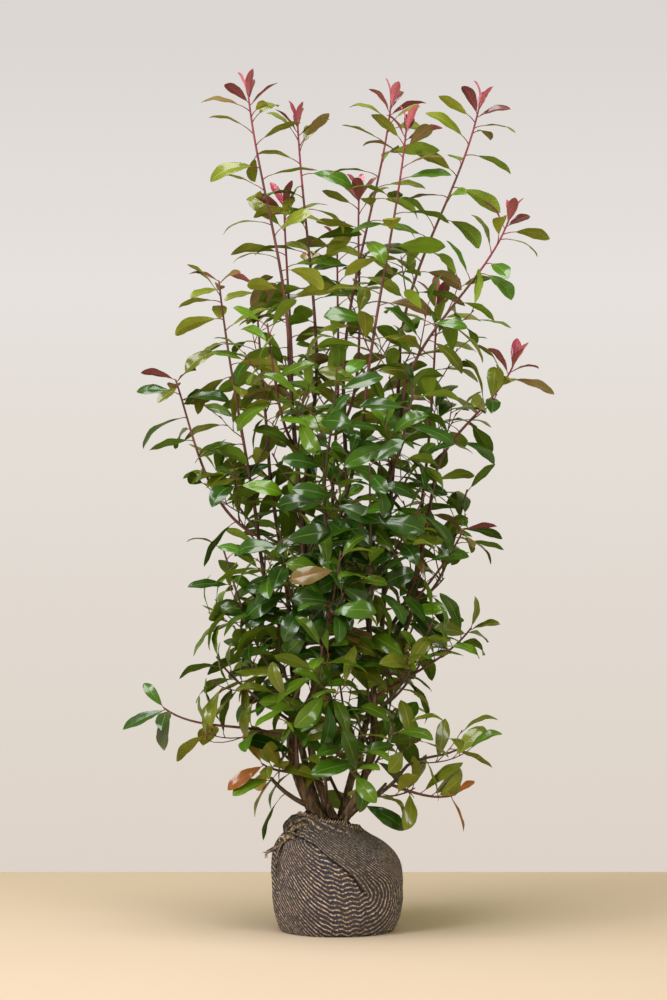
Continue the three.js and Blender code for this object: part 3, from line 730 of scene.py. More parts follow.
def leaf_tint(twig, z, age, luck):
    """A leaf's colour: its spray's, paler while it is young, or turning on the lowest shoots."""
    if twig.shoot in TURNING_SHOOTS:
        usual, other = TURNING_SHOOTS[twig.shoot]
        return usual if luck < 0.6 else other
    if z < OLIVE_BELOW and luck > (0.84 if z > MOSTLY_OLIVE_BELOW else 0.3):
        return "olive"
    if twig.flush == "rose" and age < 1:
        return "bronze" if luck < 0.2 else "olive"
    if twig.flush == "rose" and luck < 0.35:
        return "olive"
    if luck > (0.975 if z > BRONZE_ABOVE else 0.992):
        return "bronze"
    if age < 0.6 and twig.tint in ("deep", "green") and luck < 0.45:
        return "lime" if luck < 0.2 else "fresh"
    return twig.tint


def side_twig(main, t, side, seed, lengths):
    """A side twig that leans out from another and bends up."""
    line = main.line
    start = line.at(t)
    drift = SPIRAL_DRIFT * (1 - t) * line.length / LEAF_GAP
    angle = math.radians(main.turn + drift + SPIRAL_TURN * side)
    lean = math.radians(SIDE_LEAN)
    sets = unit(line.tangent(t) * math.cos(lean) + line.outward(t, angle) * math.sin(lean) + UP * 0.1)
    length = blend(*lengths, t) * blend(0.8, 1.2, chance(seed, 5))
    tip = start + unit(sets + UP * 0.3) * length
    radius = max(LEAST_RADIUS, 0.5 * main.radius(t))
    return Twig(
        Line(start, sets, tip, unit(sets + UP * 0.8)), (radius, radius * 0.65),
        360 * chance(seed, 6), seed, tint_of(tip[2], chance(seed, 7)), main.shoot,
    )


def in_opening(point):
    x, _, z = point
    return any(((x - a) / wide) ** 2 + ((z - b) / high) ** 2 < 1 for a, b, wide, high in OPENINGS)


def side_twigs(main, branchy):
    """The side twigs of a shoot, over some share of its length, and their finer twigs."""
    made = []
    count = round(main.line.length * branchy / SIDE_GAP)
    for k in range(count):
        t = FIRST_SIDE + branchy * (k + 0.5) / count
        z = main.line.at(t)[2]
        if z > SINGLE_SHOOTS or z > FINE_TWIGS and chance(main.seed, 20 + k) < OPEN_CROWN:
            continue
        side = side_twig(main, t, k, main.seed + k * 0.37, SIDE_LENGTHS)
        if in_opening(side.line.at(1)):
            continue
        made.append(side)
        if side.line.length > LONG_SIDE and z < FINE_TWIGS:
            made.append(side_twig(side, FINE_AT, k, main.seed + k * 0.61, FINE_LENGTHS))
    return made


def grow_twigs(limbs):
    """All twigs: the shoots, their side twigs and finer ones, and spurs along the limbs."""
    twigs = []
    for seed, (name, on, at, (x, y, z), branchy, turn, flush) in enumerate(SHOOTS, 1):
        ahead = FRONT_MORE if y < FRONT_SHOOTS else 0
        line = branch_line(limbs, on, at, (x, y - ahead, z), 0.5)
        main = Twig(line, SHOOT_RADII, turn, seed, tint_of(z - LOWER_LEAVES, chance(seed, 7)), name, flush)
        twigs += [main, *side_twigs(main, branchy)]
    for index, (line, radii) in enumerate(limbs.values()):
        bearer = Twig(line, radii, 70 * index, 60 + index, "green")
        for k in range(int(line.length / SPUR_GAP)):
            t = (k + 0.6) * SPUR_GAP / line.length
            if t < LAST_SPUR and line.at(t)[2] > LOWEST_SPUR:
                twigs.append(side_twig(bearer, t, k, bearer.seed + k * 0.37, SPUR_LENGTHS))
    return twigs


def posed(line, t, angle, spread, hang, inward, outward):
    """A leaf's direction and face. It spreads from a line at an angle round it, and hangs. Its
    face looks up, inward to the line and along outward, as far as its direction lets it."""
    out = line.outward(t, angle)
    axis = unit(line.tangent(t) * math.cos(spread) + out * math.sin(spread) - UP * hang)
    face = UP * 0.8 - out * inward + outward
    return axis, unit(face - axis * np.dot(face, axis))


def leaf_on(twig, from_tip, angle, draw):
    """A leaf at a distance from a twig's tip: upright near the tip, spreading and sagging
    lower down, its face turned to the sky and to the stem, more or less."""
    line = twig.line
    t = 1 - from_tip / line.length

    def luck(n):
        return chance(twig.seed, draw + n / 10)

    root = line.at(t)
    height = smoothstep(root[2], LOW_CROWN, HIGH_CROWN)
    age = min(1.0, from_tip / blend(*RIPENS, height))
    spread = math.radians(blend(*SPREAD, age) + LIFT * (luck(1) - 0.5))
    outward = unit((root[0], root[1], 0)) * FACES_OUT * (1 - height)
    axis, face = posed(line, t, angle, spread, SAG * age * luck(2), 0.5, outward)
    face = turned(face, axis, math.radians(ROLL * (luck(3) - 0.5)))
    length = blend(*LEAF_LENGTHS, height) * blend(0.72, 1, age) * blend(0.84, 1.12, luck(4))
    sets = unit(axis + line.tangent(t) * 0.6)
    stalk = blend(*STALK_LENGTHS, height) * blend(0.8, 1.25, luck(8))
    base = root + sets * (twig.radius(t) + stalk * 0.5) + axis * stalk * 0.5
    return Leaf(
        root, sets, base, axis, face, length, LEAF_WIDTH * blend(0.88, 1.12, luck(5)),
        math.radians(blend(10, 32, luck(6))), blend(0.35, 1.3, luck(7)),
        blend(-0.35, 0.35, luck(9)), luck(4) * 6.28, leaf_tint(twig, root[2], age, luck(6.5)),
    )


def tuft_on(twig):
    """The tuft of leaves at the tip of a shoot: upright within, spreading without."""
    made = []
    line = twig.line
    tints, spreads, lengths, hang, faced, _ = FLUSHES[twig.flush]
    for k, tint in enumerate(tints):
        outer = k / len(tints)
        t = 1 - k * TUFT_GAP / line.length

        def luck(n):
            return chance(twig.seed + 0.5, k + n / 10)

        angle = math.radians(twig.turn + (SPIRAL_TURN + SPIRAL_DRIFT) * k)
        spread = math.radians(blend(*spreads, outer) + 10 * luck(1))
        axis, face = posed(line, t, angle, spread, hang * outer, 0.4, BRIGHT_SIDE * faced)
        length = blend(*lengths, outer) * blend(0.85, 1.1, luck(2))
        root = line.at(t)
        made.append(Leaf(
            root, axis, root + axis * TUFT_STALK, axis, turned(face, axis, 1.4 * (luck(3) - 0.5)), length,
            LEAF_WIDTH * 0.95, math.radians(30), 0.3 + 0.6 * luck(4), 0.2, luck(5) * 6, tint,
        ))
    return made


def crowded(spot, others, room):
    """Whether any of some points lies nearer to a spot than the room it needs."""
    return len(others) > 0 and np.linalg.norm(np.asarray(others) - spot, axis=1).min() < room


def has_room(leaf, limb_points, middles):
    """Whether a leaf keeps clear of the openings, the limbs and the leaves before it."""
    middle = leaf.point(0.5)
    if in_opening(middle) or crowded(middle, middles, LEAF_ROOM):
        return False
    return not any(crowded(leaf.point(share), limb_points, LIMB_ROOM) for share in (0.3, 0.6, 0.9))


def grow_leaves(twigs, limbs):
    """Tufts at the tips, and leaves down every twig from its tip, where they have room."""
    limb_points = np.concatenate([line.at(np.linspace(0, 1, 60)) for line, _ in limbs.values()])
    leaves = []
    middles = []
    for twig in twigs:
        from_tip = FIRST_LEAF
        if twig.flush:
            leaves += tuft_on(twig)
            from_tip += FLUSHES[twig.flush][-1]
        bare = min(BARE_FOOT, twig.line.length * 0.2)
        k = 0
        while from_tip < twig.line.length - bare:
            jitter = LEAF_JITTER * (chance(twig.seed, k + 0.9) - 0.5)
            angle = twig.turn + SPIRAL_DRIFT * from_tip / LEAF_GAP + SPIRAL_TURN * k + jitter
            for shift in (0, SPIRAL_TURN, -SPIRAL_TURN):
                turn = math.radians(angle + shift)
                leaf = leaf_on(twig, from_tip, turn - TWO_SIDED * math.sin(2 * turn), k)
                if has_room(leaf, limb_points, middles):
                    leaves.append(leaf)
                    middles.append(leaf.point(0.5))
                    break
            from_tip += LEAF_GAP * (0.5 if k < 2 else 1) * (FLUSHING_GAP if twig.flush else 1)
            k += 1
    return leaves


# Leaves

def half_width(u):
    """Half the width of a leaf along its length, as a share of the widest."""
    return 2.02 * u**0.85 * (1 - u**2.6) ** 0.88 + 0.012


def blade_points(leaves):
    """Points of many leaves at once, by leaf and station, across the upper side and back below."""
    def column(name):
        return np.array([getattr(leaf, name) for leaf in leaves])[:, None]

    axis = column("axis")
    face = column("face")
    side = np.cross(face, axis)
    length = column("length")
    u = STATIONS[None, :]
    # The blade first rises a little, and bends down more and more.
    angle = column("bend") * (0.45 * u + 0.55 * u**2.5) - 0.12
    step = np.diff(STATIONS, prepend=0)[None, :]
    along = np.cumsum(np.cos(angle) * step, axis=1) * length
    drop = np.cumsum(np.sin(angle) * step, axis=1) * length
    centre = column("root") + along[..., None] * axis - drop[..., None] * face
    normal = np.cos(angle)[..., None] * face + np.sin(angle)[..., None] * axis
    roll = (column("twist") * u)[..., None]
    aside = np.cos(roll) * side + np.sin(roll) * normal
    normal = np.cos(roll) * normal - np.sin(roll) * side
    half = column("width") * length / 2 * half_width(u)
    # Its edge is toothed and rippled, and its halves fold up and arch.
    teeth = 1 + 0.015 * (-1.0) ** np.arange(len(STATIONS))
    v = COLUMNS[None, None, :]
    reach = np.where(np.abs(v) > 0.9, teeth[None, :, None], 1.0)
    fold = column("fold")[..., None]
    wide = half[..., None] * v * reach * np.cos(fold)
    ripple = 0.07 * np.sin(u * 14 + column("wave"))[..., None] * np.abs(v) ** 2
    lift = half[..., None] * (np.abs(v) * np.sin(fold) - 0.28 * v**2 + ripple)
    upper = centre[:, :, None] + wide[..., None] * aside[:, :, None] + lift[..., None] * normal[:, :, None]
    thick = 0.22 + 0.3 * (1 - np.abs(v)) + 0.6 * (np.abs(v) < 0.1) * (1 - u[..., None])
    lower = upper - thick[..., None] * normal[:, :, None]
    return np.concatenate([upper, lower[:, :, ::-1]], axis=2)


def leaf_triangles():
    """Triangles and slots of one leaf, a closed skin: upper side 0, lower side 1, and the
    midrib above and below, 2 and 3."""
    rows = len(STATIONS)
    columns = len(COLUMNS)
    skin = grid_triangles(rows, 2 * columns, closed=True, turned_from=columns)
    ring = [0] * columns + [1] * (columns - 1) + [0]
    ring[columns // 2 - 1] = 2
    ring[columns + columns // 2 - 1] = 3
    right = np.arange(columns - 1)
    left = 2 * columns - 1 - right
    halves = [np.stack([right, right + 1, left - 1]), np.stack([right, left - 1, left])]
    cap = np.concatenate(halves, axis=1).T
    last = cap[:, ::-1] + (rows - 1) * 2 * columns
    slots = np.concatenate([np.tile(ring, 2 * (rows - 1)), np.zeros(2 * len(cap), int)])
    return np.concatenate([skin, cap, last]), slots


def add_leaves(heap, leaves):
    """Leaves, whose places in the pattern are the way along them and across."""
    triangles, slots = leaf_triangles()
    points = blade_points(leaves)
    count, rows, around, _ = points.shape
    across_it = np.concatenate([COLUMNS, COLUMNS[::-1]])
    spots = np.stack(np.meshgrid(STATIONS, across_it, indexing="ij"), axis=-1).reshape(-1, 2)
    every = (triangles + (np.arange(count) * rows * around)[:, None, None]).reshape(-1, 3)
    heap.add(points, every, np.tile(slots, count), np.tile(spots, (count, 1)))


# Root ball

def pleats(turn, z):
    """Waves of the cloth on the front, below the fold, from -1 to 1."""
    shows = smoothstep(turn, -112, -92) * (1 - smoothstep(turn, -66, -54))
    return np.sin(turn * 0.5 + z * 0.035) * shows


def ring_at(z):
    """Radius share and shift of the sack at a height, rounded between its rings."""
    spans = np.linspace(-9, 9, 7)
    heights = [np.clip(z + span, 0, BALL_TOP) for span in spans]
    size, shift = (
        sum(np.interp(height, BALL_RINGS[:, 0], BALL_RINGS[:, column]) for height in heights)
        for column in (1, 2)
    )
    return size / len(spans), shift / len(spans)


def fold_height(turn):
    """Height of the fold at a turn round the ball, in degrees, and how strongly it shows."""
    shows = smoothstep(turn, -150, -128) * (1 - smoothstep(turn, -67, -62))
    return np.interp(turn, FOLD[:, 0], FOLD[:, 1]), shows


def drawn(turn, z):
    """A spot on the sack moved away from the knot, more so near it, which narrows the ribs there."""
    aside = np.radians(turn - DRAWN_TURN) * BALL_WIDTH / 2
    away = np.hypot(aside, z - DRAWN_HEIGHT)
    spread = 1 + DRAWN_MORE * np.exp(-away / DRAWN_OVER)
    return DRAWN_TURN + (turn - DRAWN_TURN) * spread, DRAWN_HEIGHT + (z - DRAWN_HEIGHT) * spread


def rib_climb(turn):
    """How far a rib has climbed at a turn from where it runs level."""
    turns = np.arange(-190.0, 200.0)
    steps = np.tan(np.radians(np.interp(turns, SLOPE_TURNS, SLOPES))) * math.radians(BALL_WIDTH / 2)
    climbed = -np.cumsum(steps)
    return np.interp(turn, turns, climbed) - np.interp(LEVEL_TURN, turns, climbed)


def ribs_below(turn, z):
    """Which rib of the cloth a point left of or below the fold lies on."""
    turn, z = drawn(turn, z)
    return (rib_climb(turn) - z + 2.3 * pleats(turn, z)) / RIB


def fold_distance(turn, z):
    """Distance from the line of the fold over the unrolled sack."""
    reach = BALL_WIDTH / 2
    ends = [(math.radians(t) * reach, h) for t, h in FOLD]
    aside = np.radians(turn) * reach
    nearest = np.inf
    for (a, low), (b, high) in zip(ends, ends[1:]):
        share = ((aside - a) * (b - a) + (z - low) * (high - low)) / ((b - a) ** 2 + (high - low) ** 2)
        share = np.clip(share, 0, 1)
        nearest = np.minimum(nearest, np.hypot(aside - blend(a, b, share), z - blend(low, high, share)))
    return nearest


def ribs_above(turn, z):
    """Which rib a point over the fold or right of it lies on: they run round the fold's lower
    end, up, and back along the fold, where they are narrower."""
    end_turn, end_z = FOLD[-1]
    narrowed = blend(1.0, 0.6, smoothstep(z, end_z, end_z + 70))
    return fold_distance(turn, z) / (RIB * narrowed) + ribs_below(end_turn, end_z)


def ribs_behind(turn, z):
    """Which rib a point of the back lies on: ribs hang down from the neck."""
    return np.radians(turn) * BALL_WIDTH / 2 / RIB + 0.25 * np.sin(z * 0.06)


def ribs_at(turn, z, near_turn, near_z):
    """Which rib a spot lies on, in the part of the cloth that the spot near it is in."""
    edge, shows = fold_height(near_turn)
    lapped = (near_z > edge) & (shows > 0.02) | (near_turn > FOLD[-1][0])
    ribs = np.where(lapped, ribs_above(turn, z), ribs_below(turn, z))
    return np.where(np.abs(near_turn - 90) < 90, ribs_behind(turn, z), ribs)


def sack_relief(turn, z, base):
    """How far the cloth stands out from the bare sack: gathers at the neck, tucks, pleats,
    lumps and ribs, and the lap over the crease of the fold."""
    angle = np.radians(turn)
    level = z / BALL_TOP
    edge, shows = fold_height(turn)
    above = smoothstep(z, edge - 1.5, edge + 1.5) * (1 - smoothstep(z, edge + 22, edge + 75))
    crease = np.exp(-((z - edge + 3.0) / 2.4) ** 2)
    gathers = 2.4 * np.sin(angle * GATHER_COUNT + 2.2 * rough(base, 30, 4)) * smoothstep(z, 165, 205)
    tucks = 2.0 * np.cos(angle * TUCK_COUNT + level * 3) * level
    lumps = 2.2 * rough(base, 52, 1) + 0.9 * rough(base, 17, 2)
    ribs = 0.3 * np.cos(2 * math.pi * (ribs_at(turn, z, turn, z) - 0.5))
    out = (gathers + tucks + pleats(turn, z) + lumps + ribs) * smoothstep(z, 0, 12)
    return out + (5.0 * above - 4.5 * crease) * shows


def cloth_slots(turn, z):
    """The look at a spot of the sack: striped 0, the lap and the greyer right shoulder 1, painted shade in
    the crease under the fold 2.
    """
    edge, shows = fold_height(turn)
    # Painted shade: a narrow band just under the fold's edge, where the fold shows, takes the near-black
    # crease look.
    painted_crease_shade = (np.abs(z - edge + 2.6) < 1.6) & (shows > 0.3)
    # On the right, the shoulder above this wavy height takes the lap's greyer look.
    greyer_top = 168 + 7 * np.sin(turn * 0.31) + 4 * np.sin(turn * 1.7 + z * 0.2)
    right = (turn > FOLD[-1][0]) & (turn < -20)
    lap = (z > edge) & (shows > 0.02) & (turn < 0) | (z > greyer_top) & right
    return np.where(painted_crease_shade, 2, np.where(lap, 1, 0)).ravel()


def add_ball(heap):
    """The sack: its underside, its side with folds, ribs and lap, and its top."""
    under = np.linspace(0.02, 0.97, 8)[:-1]
    sides = np.concatenate([[0, 1, 3, 6], np.arange(8, BALL_TOP, BALL_ROW), [BALL_TOP]])
    over = np.linspace(0.95, 0.05, 6)
    heights = np.concatenate([0 * under, sides, np.full(len(over), BALL_TOP)])
    shares = np.concatenate([under, np.ones(len(sides)), over])
    turns = np.linspace(-180, 180, BALL_COLUMNS, endpoint=False)
    turn, z, share = np.broadcast_arrays(turns, heights[:, None], shares[:, None])
    angle = np.radians(turn)
    size, shift = ring_at(z)
    rounding = 1 - 0.035 * (1 - smoothstep(z, 0, 9))
    radius = size * rounding * BALL_WIDTH / 2
    base = np.stack([radius * np.cos(angle), radius * np.sin(angle), z], axis=-1)
    reach = (radius + sack_relief(turn, z, base)) * share
    x = reach * np.cos(angle) + shift
    y = reach * np.sin(angle) * BALL_DEPTH / BALL_WIDTH
    triangles = grid_triangles(len(heights), BALL_COLUMNS, closed=True)
    # The pattern place is worked out by corner, because it jumps at the edges of the cloth.
    corner_turn = turn.ravel()[triangles]
    past_seam = corner_turn.max(axis=1, keepdims=True) - corner_turn > 180
    corner_turn = np.where(past_seam, corner_turn + 360, corner_turn)
    corner_z = z.ravel()[triangles]
    middle = [corners.mean(axis=1, keepdims=True) for corners in (corner_turn, corner_z)]
    heap.add(np.stack([x, y, z], axis=-1), triangles, cloth_slots(*middle))
    heap.corner_places = np.stack([ribs_at(corner_turn, corner_z, *middle), corner_z / RIB], axis=-1)


def collar_top(angle):
    """Height of the collar's edge, which is highest on the left and in front."""
    return 217 - 15 * np.cos(angle) - 8 * np.sin(angle) + 1.2 * np.sin(angle * 5 + 1)


def add_collar(heap):
    """The cloth gathered round the neck: it goes on from the shoulder to a slanted edge, and in."""
    angle = np.linspace(0, 2 * math.pi, COLLAR_COLUMNS, endpoint=False)[None, :]
    row = np.arange(len(COLLAR))[:, None]
    height = COLLAR_FOOT + (collar_top(angle) - COLLAR_FOOT) * COLLAR[:, 2:]
    folds = 1.5 * np.sin(angle * 27 + 1.5 * np.sin(angle * 4)) * smoothstep(row, 0, 3)
    radius = COLLAR[:, :1] + folds
    x = COLLAR[:, 1:2] + radius * np.cos(angle)
    y = NECK[1] + radius * np.sin(angle)
    along = angle * NECK_RADIUS / RIB + 0 * row
    places = np.stack([0.62 * (row + 1) + along * 0.35, along], axis=-1).reshape(-1, 2)
    triangles = grid_triangles(len(COLLAR), COLLAR_COLUMNS, closed=True)
    heap.add(np.stack([x, y, height], axis=-1), triangles, 0, places)


def by_neck(far, turn, z):
    """A point at a distance and a turn round the middle of the neck."""
    return NECK + (far * math.cos(turn), far * math.sin(turn), z)


def add_stitches(heap):
    """Slanted loops of tan yarn that bind the edge of the collar."""
    for k in range(STITCHES):
        luck = chance(3, k)
        turn = 2 * math.pi * k / STITCHES
        ahead = turn + 0.05 + 0.05 * luck
        low = by_neck(62.5, turn, collar_top(turn) - 4)
        high = by_neck(60, ahead, collar_top(ahead) + 2 + 3 * luck)
        out = np.array([math.cos(turn), math.sin(turn), 0.3])
        add_tube(heap, Line(low, out, high, UP * 0.6 - out, 0.35), taper(1.5, 0.6), 5, 5)


def add_knot(heap):
    """Cloth bunched and tied over the shoulder: folds, a tie round them and two loose tails."""
    def twisted(points, t, angles):
        return 1 + 0.16 * np.cos(angles * 3 + t * 14) + 0.14 * rough(points, 6, 3)

    def bulging(thick, thin):
        return lambda t: blend(thick, thin, t) * math.sin(math.pi * (0.14 + 0.72 * t)) ** 0.5

    for start, sets, tip, ends, radii in KNOT_FOLDS:
        add_tube(heap, Line(start, sets, tip, ends, 0.4), bulging(*radii), 18, 26, 0, twisted)
    for at, size, tilt in TIES:
        ring = [
            np.array(at) + (size * math.cos(a), -3 + size * 0.6 * math.sin(a), size * tilt * math.sin(a + 1))
            for a in np.linspace(0, 2 * math.pi, 9)
        ]
        for a, b, c in zip(ring, ring[1:], ring[2:] + ring[1:2]):
            bow = Line(a, unit(b - a) + unit(c - a) * 0.2, b, unit(c - a))
            add_tube(heap, bow, taper(TIE_RADIUS, TIE_RADIUS), 8, 5, 1)
    tail = Line(TAIL_START, (-0.7, -0.2, -0.7), TAIL_END, (-0.9, 0, -0.4), 0.35)
    add_tube(heap, tail, taper(6.5, 3.2), 14, 30, 0, twisted)
    slack = Line((-109, -56, 182), (-0.5, -0.4, -0.8), (-120, -56, 112), (0.1, 0, -1), 0.4)
    add_tube(heap, slack, taper(3.4, 1.6), 10, 24, 0, twisted)


def add_fibres(heap):
    """Stray hairs of jute on the ball, the frayed ends of the tail and a loose root."""
    for k in range(FIBRES):
        turn = 2 * math.pi * chance(11, k)
        z = 6 + 190 * chance(12, k)
        size, shift = ring_at(np.array(z))
        out = np.array([math.cos(turn), math.sin(turn) * BALL_DEPTH / BALL_WIDTH, 0.0])
        start = out * (float(size) * BALL_WIDTH / 2 - 1) + (float(shift), 0, z)
        aside = unit(np.cross(out, UP)) * (chance(13, k) - 0.5) * 2 + UP * (chance(14, k) - 0.6)
        tip = start + out * (2.5 + 2.5 * chance(15, k)) + aside * (4 + 6 * chance(16, k))
        tip[2] = max(tip[2], 1.0)
        add_tube(heap, Line(start, out, tip, aside + out * 0.1, 0.4), taper(0.32, 0.16), 3, 4)
    for k in range(FRAYED_ENDS):
        spread = np.array([chance(21, k) - 0.8, chance(22, k) - 0.5, chance(23, k) - 0.9])
        line = Line(TAIL_END + (3, 0, 3), (-0.7, 0, -0.6), TAIL_END + spread * 13, spread, 0.4)
        add_tube(heap, line, taper(0.9, 0.4), 4, 4)
    root = Line((96, -42, 6), (0.8, -0.5, 0.1), (127, -60, 1.2), (0.7, -0.2, -0.5), 0.35)
    add_tube(heap, root, taper(1.2, 0.6), 6, 10)


def add_soil(heap):
    """Crumbly soil in the neck, heaped a little round the stems' feet, with loose crumbs."""
    reach = NECK_RADIUS + 1
    rings = np.linspace(0, 1, SOIL_ROWS)[:, None]
    turn = np.linspace(0, 2 * math.pi, SOIL_COLUMNS, endpoint=False)[None, :]
    x = NECK[0] + rings * reach * np.cos(turn)
    y = NECK[1] + rings * reach * np.sin(turn)
    flat = np.stack([x, y, np.full_like(x, SOIL_TOP)], axis=-1)

    def mound(middle, high, spread):
        return high * np.exp(-((x - middle[0]) ** 2 + (y - middle[1]) ** 2) / spread)

    feet = sum(mound(foot, 7, 160) for _, foot, *_ in STEMS)
    level = blend(SOIL_TOP - 1.5, collar_top(turn) - 4, smoothstep(rings, 0.5, 1))
    z = level + feet + mound(NECK_MOUND, 22, 260) + 2.6 * rough(flat, 9, 5) + 1.6 * rough(flat, 3.5, 6)
    heap.add(np.stack([x, y, z], axis=-1), grid_triangles(SOIL_ROWS, SOIL_COLUMNS, closed=True))
    for k in range(CRUMBS):
        turn_at = 2 * math.pi * chance(31, k)
        far = CRUMB_REACH * math.sqrt(chance(32, k))
        level = blend(SOIL_TOP, collar_top(turn_at) - 3, float(smoothstep(far / reach, 0.5, 1)))
        at = by_neck(far, turn_at, level + 2 * chance(33, k))
        size = 1.2 + 2.4 * chance(34, k)
        crumb = Line(at - (size, 0, 0), (1, 0, 0), at + (size, 0, 0), (1, 0, 0), 0.3)
        add_tube(heap, crumb, lambda t: size * math.sin(math.pi * (0.1 + 0.8 * t)), 6, 5)


def make_cover(name, looks, slot, node, *adders):
    """A piece that stands for one node, made by functions that add to its heap."""
    heap = Heap()
    for adder in adders:
        adder(heap)
    heap.make_piece(name, looks, slot, [node])


def make_root_ball():
    """The pieces of the sack, its collar and knot, and the soil in its neck."""
    jute = jute_look("jute_striped", TAN, NAVY, 0.195)
    # The lap's look, greyer than the front, also laid on the right shoulder and the collar.
    greyer_top = jute_look("jute_lap", shade(TAN, 0.72), LAP_NAVY, 0.2)
    # Painted shade in the crease under the fold: near-black tan and navy.
    shaded = jute_look("jute_painted_crease_shade", shade(TAN, 0.08), shade(NAVY, 0.4), 0.2)
    yarn = jute_look("jute_yarn", shade(TAN, 1.1), shade(TAN, 0.5), 0.45)
    bundle = jute_look("jute_bundle", shade(TAN, 0.45), KNOT_DARK_YARN, 0.3)
    make_cover("ball_cloth", [jute, greyer_top, shaded], "jute", "root_ball", add_ball)
    make_cover("collar_cloth", [greyer_top], "jute", "jute_rim", add_collar)
    make_cover("collar_yarn", [yarn], "jute", "jute_rim", add_stitches, add_fibres)
    make_cover("knot_cloth", [bundle, yarn], "jute", "jute_knot", add_knot)
    make_cover("soil_crumbs", [soil_look()], "soil", "neck_soil", add_soil)


# Stems, boughs and twigs

def bark_relief(depth, flare, seed):
    """Cracked and lumpy bark, with a flared foot."""
    def relief(points, t, angles):
        lumps = rough(points, 22, seed)
        cracks = rough(points * (1, 1, 0.25), 3.2, seed + 1)
        foot = flare * math.exp(-14 * t) * (1 + 0.5 * np.cos(angles * 4 + seed))
        return 1 + depth * (0.6 * lumps + cracks) + foot

    return relief


def make_limbs(name, rows, limbs, look, sides, step, depth, flare, first_seed):
    """The piece of all stems or all boughs: tubes with so many sides and rings so far apart."""
    heap = Heap()
    for seed, (limb, *_) in enumerate(rows, first_seed):
        line, radii = limbs[limb]
        rings = int(line.length / step)
        add_tube(heap, line, taper(*radii), sides, rings, 0, bark_relief(depth, flare, seed))
    heap.make_piece(name, [look], "bark", [row[0] for row in rows])


def make_twigs(twigs, leaves):
    """The twigs in three kinds of wood, and the leaves' stalks."""
    heaps = {name: Heap() for name in TWIG_TINTS}
    for twig in twigs:
        young = twig.line.at(1)[2] > RED_WOOD_FROM or twig.flush
        sides, step = (8, 14) if twig.radii == SHOOT_RADII else (6, 16)
        rose_from = 1 - ROSE_WOOD / twig.line.length if twig.flush == "rose" else 1
        spans = [("twigs_young" if young else "twigs_old", 0, rose_from), ("twigs_rose", rose_from, 1)]
        for wood, low, high in spans:
            if low < high:
                rings = max(4, int(twig.line.length * (high - low) / step))
                add_tube(heaps[wood], twig.line, twig.radius, sides, rings, span=(low, high))
    for leaf in leaves:
        stalk = Line(leaf.stalk_root, leaf.stalk_sets, leaf.root + leaf.axis, leaf.axis)
        add_tube(heaps["leaf_stalks"], stalk, taper(1.15, 0.75), 4, 4)
    for name, tints in TWIG_TINTS.items():
        heaps[name].make_piece(name, [twig_look(*tints)], "foliage", FOLIAGE_NODES)


def make_leaves(leaves):
    """A piece for each tint of leaf that occurs."""
    for tint, (upper, lower, rib) in TINTS.items():
        chosen = [leaf for leaf in leaves if leaf.tint == tint]
        if not chosen:
            continue
        heap = Heap()
        add_leaves(heap, chosen)
        looks = [
            leaf_look(f"leaf_{tint}_upper", upper, True), leaf_look(f"leaf_{tint}_lower", lower, False),
            rib_look(f"rib_{tint}_upper", rib), rib_look(f"rib_{tint}_lower", shade(rib, 1.15)),
        ]
        heap.make_piece(f"leaves_{tint}", looks, "foliage", FOLIAGE_NODES, sharp=70)


# Stage, light and camera

def make_stage():
    """A plain pale floor whose far edge lies some way behind the part."""
    near_edge = -5.0
    far_edge = 0.93
    wide = 5.0
    corners = [(-wide, near_edge, 0), (wide, near_edge, 0), (wide, far_edge, 0), (-wide, far_edge, 0)]
    mesh = bpy.data.meshes.new("floor")
    mesh.from_pydata(corners, [], [(0, 1, 2, 3)])
    mesh.materials.append(floor_look())
    floor = linked("floor", mesh)
    floor.location.z = -0.0003


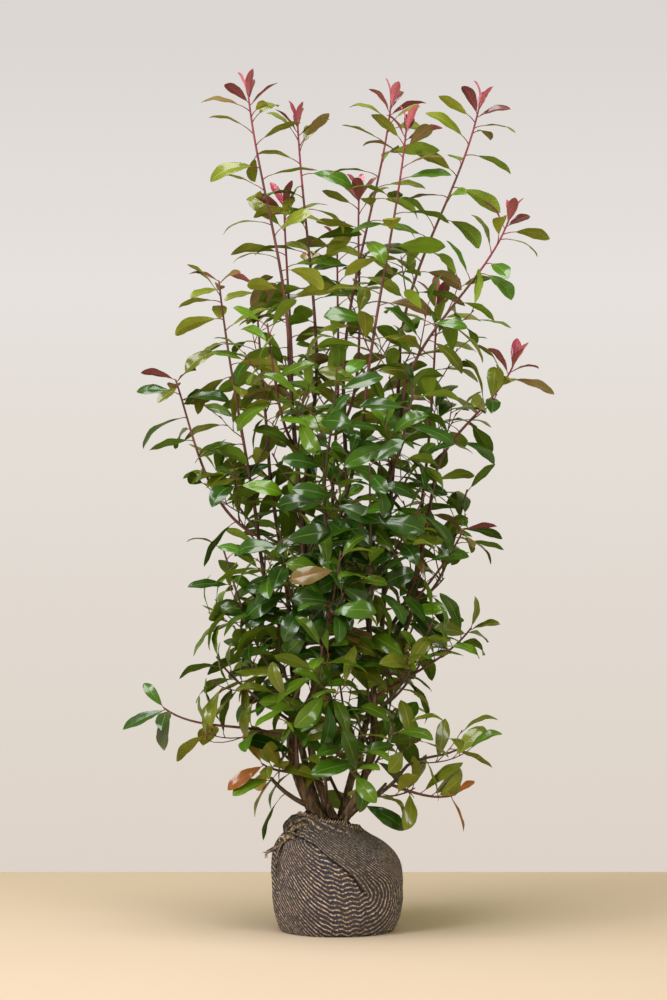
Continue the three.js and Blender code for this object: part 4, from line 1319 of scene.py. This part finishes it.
def make_backdrop():
    """A pale backdrop, as the sky of the scene, that lights the part less than it shows. What it shows has
    painted shading, lightest a little above level and darker below and higher up.
    """
    world = bpy.data.worlds.new("backdrop")
    world.use_nodes = True
    world.node_tree.nodes.clear()
    nodes = Nodes(world.node_tree)
    heading = nodes.add("ShaderNodeTexCoord").outputs["Generated"]
    upward = nodes.add("ShaderNodeSeparateXYZ", {"Vector": heading}).outputs["Z"]
    height = nodes.add("ShaderNodeMapRange", {"Value": upward, "From Min": -0.12, "From Max": 0.16})
    # Painted shading of the backdrop by height: lightest a little above level, darker below it and higher
    # up.
    painted_backdrop_shading = nodes.ramp(
        height.outputs["Result"], (0.0, (0.730, 0.652, 0.578)), (0.32, (0.760, 0.700, 0.638)),
        (0.68, (0.799, 0.760, 0.723)), (1.0, (0.708, 0.673, 0.644)),
    )
    shown = nodes.add("ShaderNodeBackground", {"Color": painted_backdrop_shading})
    fill = nodes.add("ShaderNodeBackground", {"Color": (0.80, 0.78, 0.38), "Strength": 0.47})
    seen = nodes.add("ShaderNodeLightPath").outputs["Is Camera Ray"]
    mixed = nodes.add("ShaderNodeMixShader", {"Fac": seen, 1: fill.outputs[0], 2: shown.outputs[0]})
    nodes.add("ShaderNodeOutputWorld", {"Surface": mixed.outputs[0]})
    bpy.context.scene.world = world


def make_light(name, place, size, watts, colour):
    """A softbox that is turned to the middle of the part."""
    lamp = bpy.data.lights.new(name, "AREA")
    lamp.shape = "RECTANGLE"
    lamp.size, lamp.size_y = size
    lamp.energy = watts
    lamp.color = colour
    made = linked(name, lamp)
    made.location = place
    made.rotation_euler = (Vector((0, 0, 0.8)) - Vector(place)).to_track_quat("-Z", "Y").to_euler()


def make_camera():
    """A long lens at half the plant's height, level, as in the photograph."""
    lens = bpy.data.cameras.new("camera")
    lens.lens = 108
    lens.sensor_width = 36
    made = linked("camera", lens)
    made.location = (-0.008, -6.0, 0.859)
    made.rotation_euler = (math.radians(90), 0, 0)
    bpy.context.scene.camera = made


make_camera()
make_stage()
make_backdrop()
make_light("softbox_top", (-0.4, -0.7, 4.0), (2.6, 2.0), 130, (1.0, 0.99, 0.97))
make_light("softbox_left", (-2.7, -2.6, 2.3), (1.2, 2.0), 92, (1.0, 0.99, 0.98))
make_light("softbox_right", (2.9, -3.0, 2.0), (1.0, 2.0), 48, (1.0, 0.98, 0.96))
bpy.context.scene.view_settings.view_transform = "Standard"

limbs = grow_limbs()
twigs = grow_twigs(limbs)
leaves = grow_leaves(twigs, limbs)
make_root_ball()
old_bark = bark_look("bark_old", (0.10, 0.062, 0.036), (0.23, 0.155, 0.095), (0.024, 0.015, 0.01))
young_bark = bark_look("bark_young", (0.075, 0.034, 0.024), (0.16, 0.085, 0.058), (0.02, 0.01, 0.008))
make_limbs(
    "stems_bark", STEMS, limbs, old_bark, sides=22, step=3.2, depth=0.09, flare=0.55, first_seed=1,
)
make_limbs(
    "boughs_bark", BOUGHS, limbs, young_bark, sides=14, step=5, depth=0.06, flare=0.35, first_seed=11,
)
make_twigs(twigs, leaves)
make_leaves(leaves)
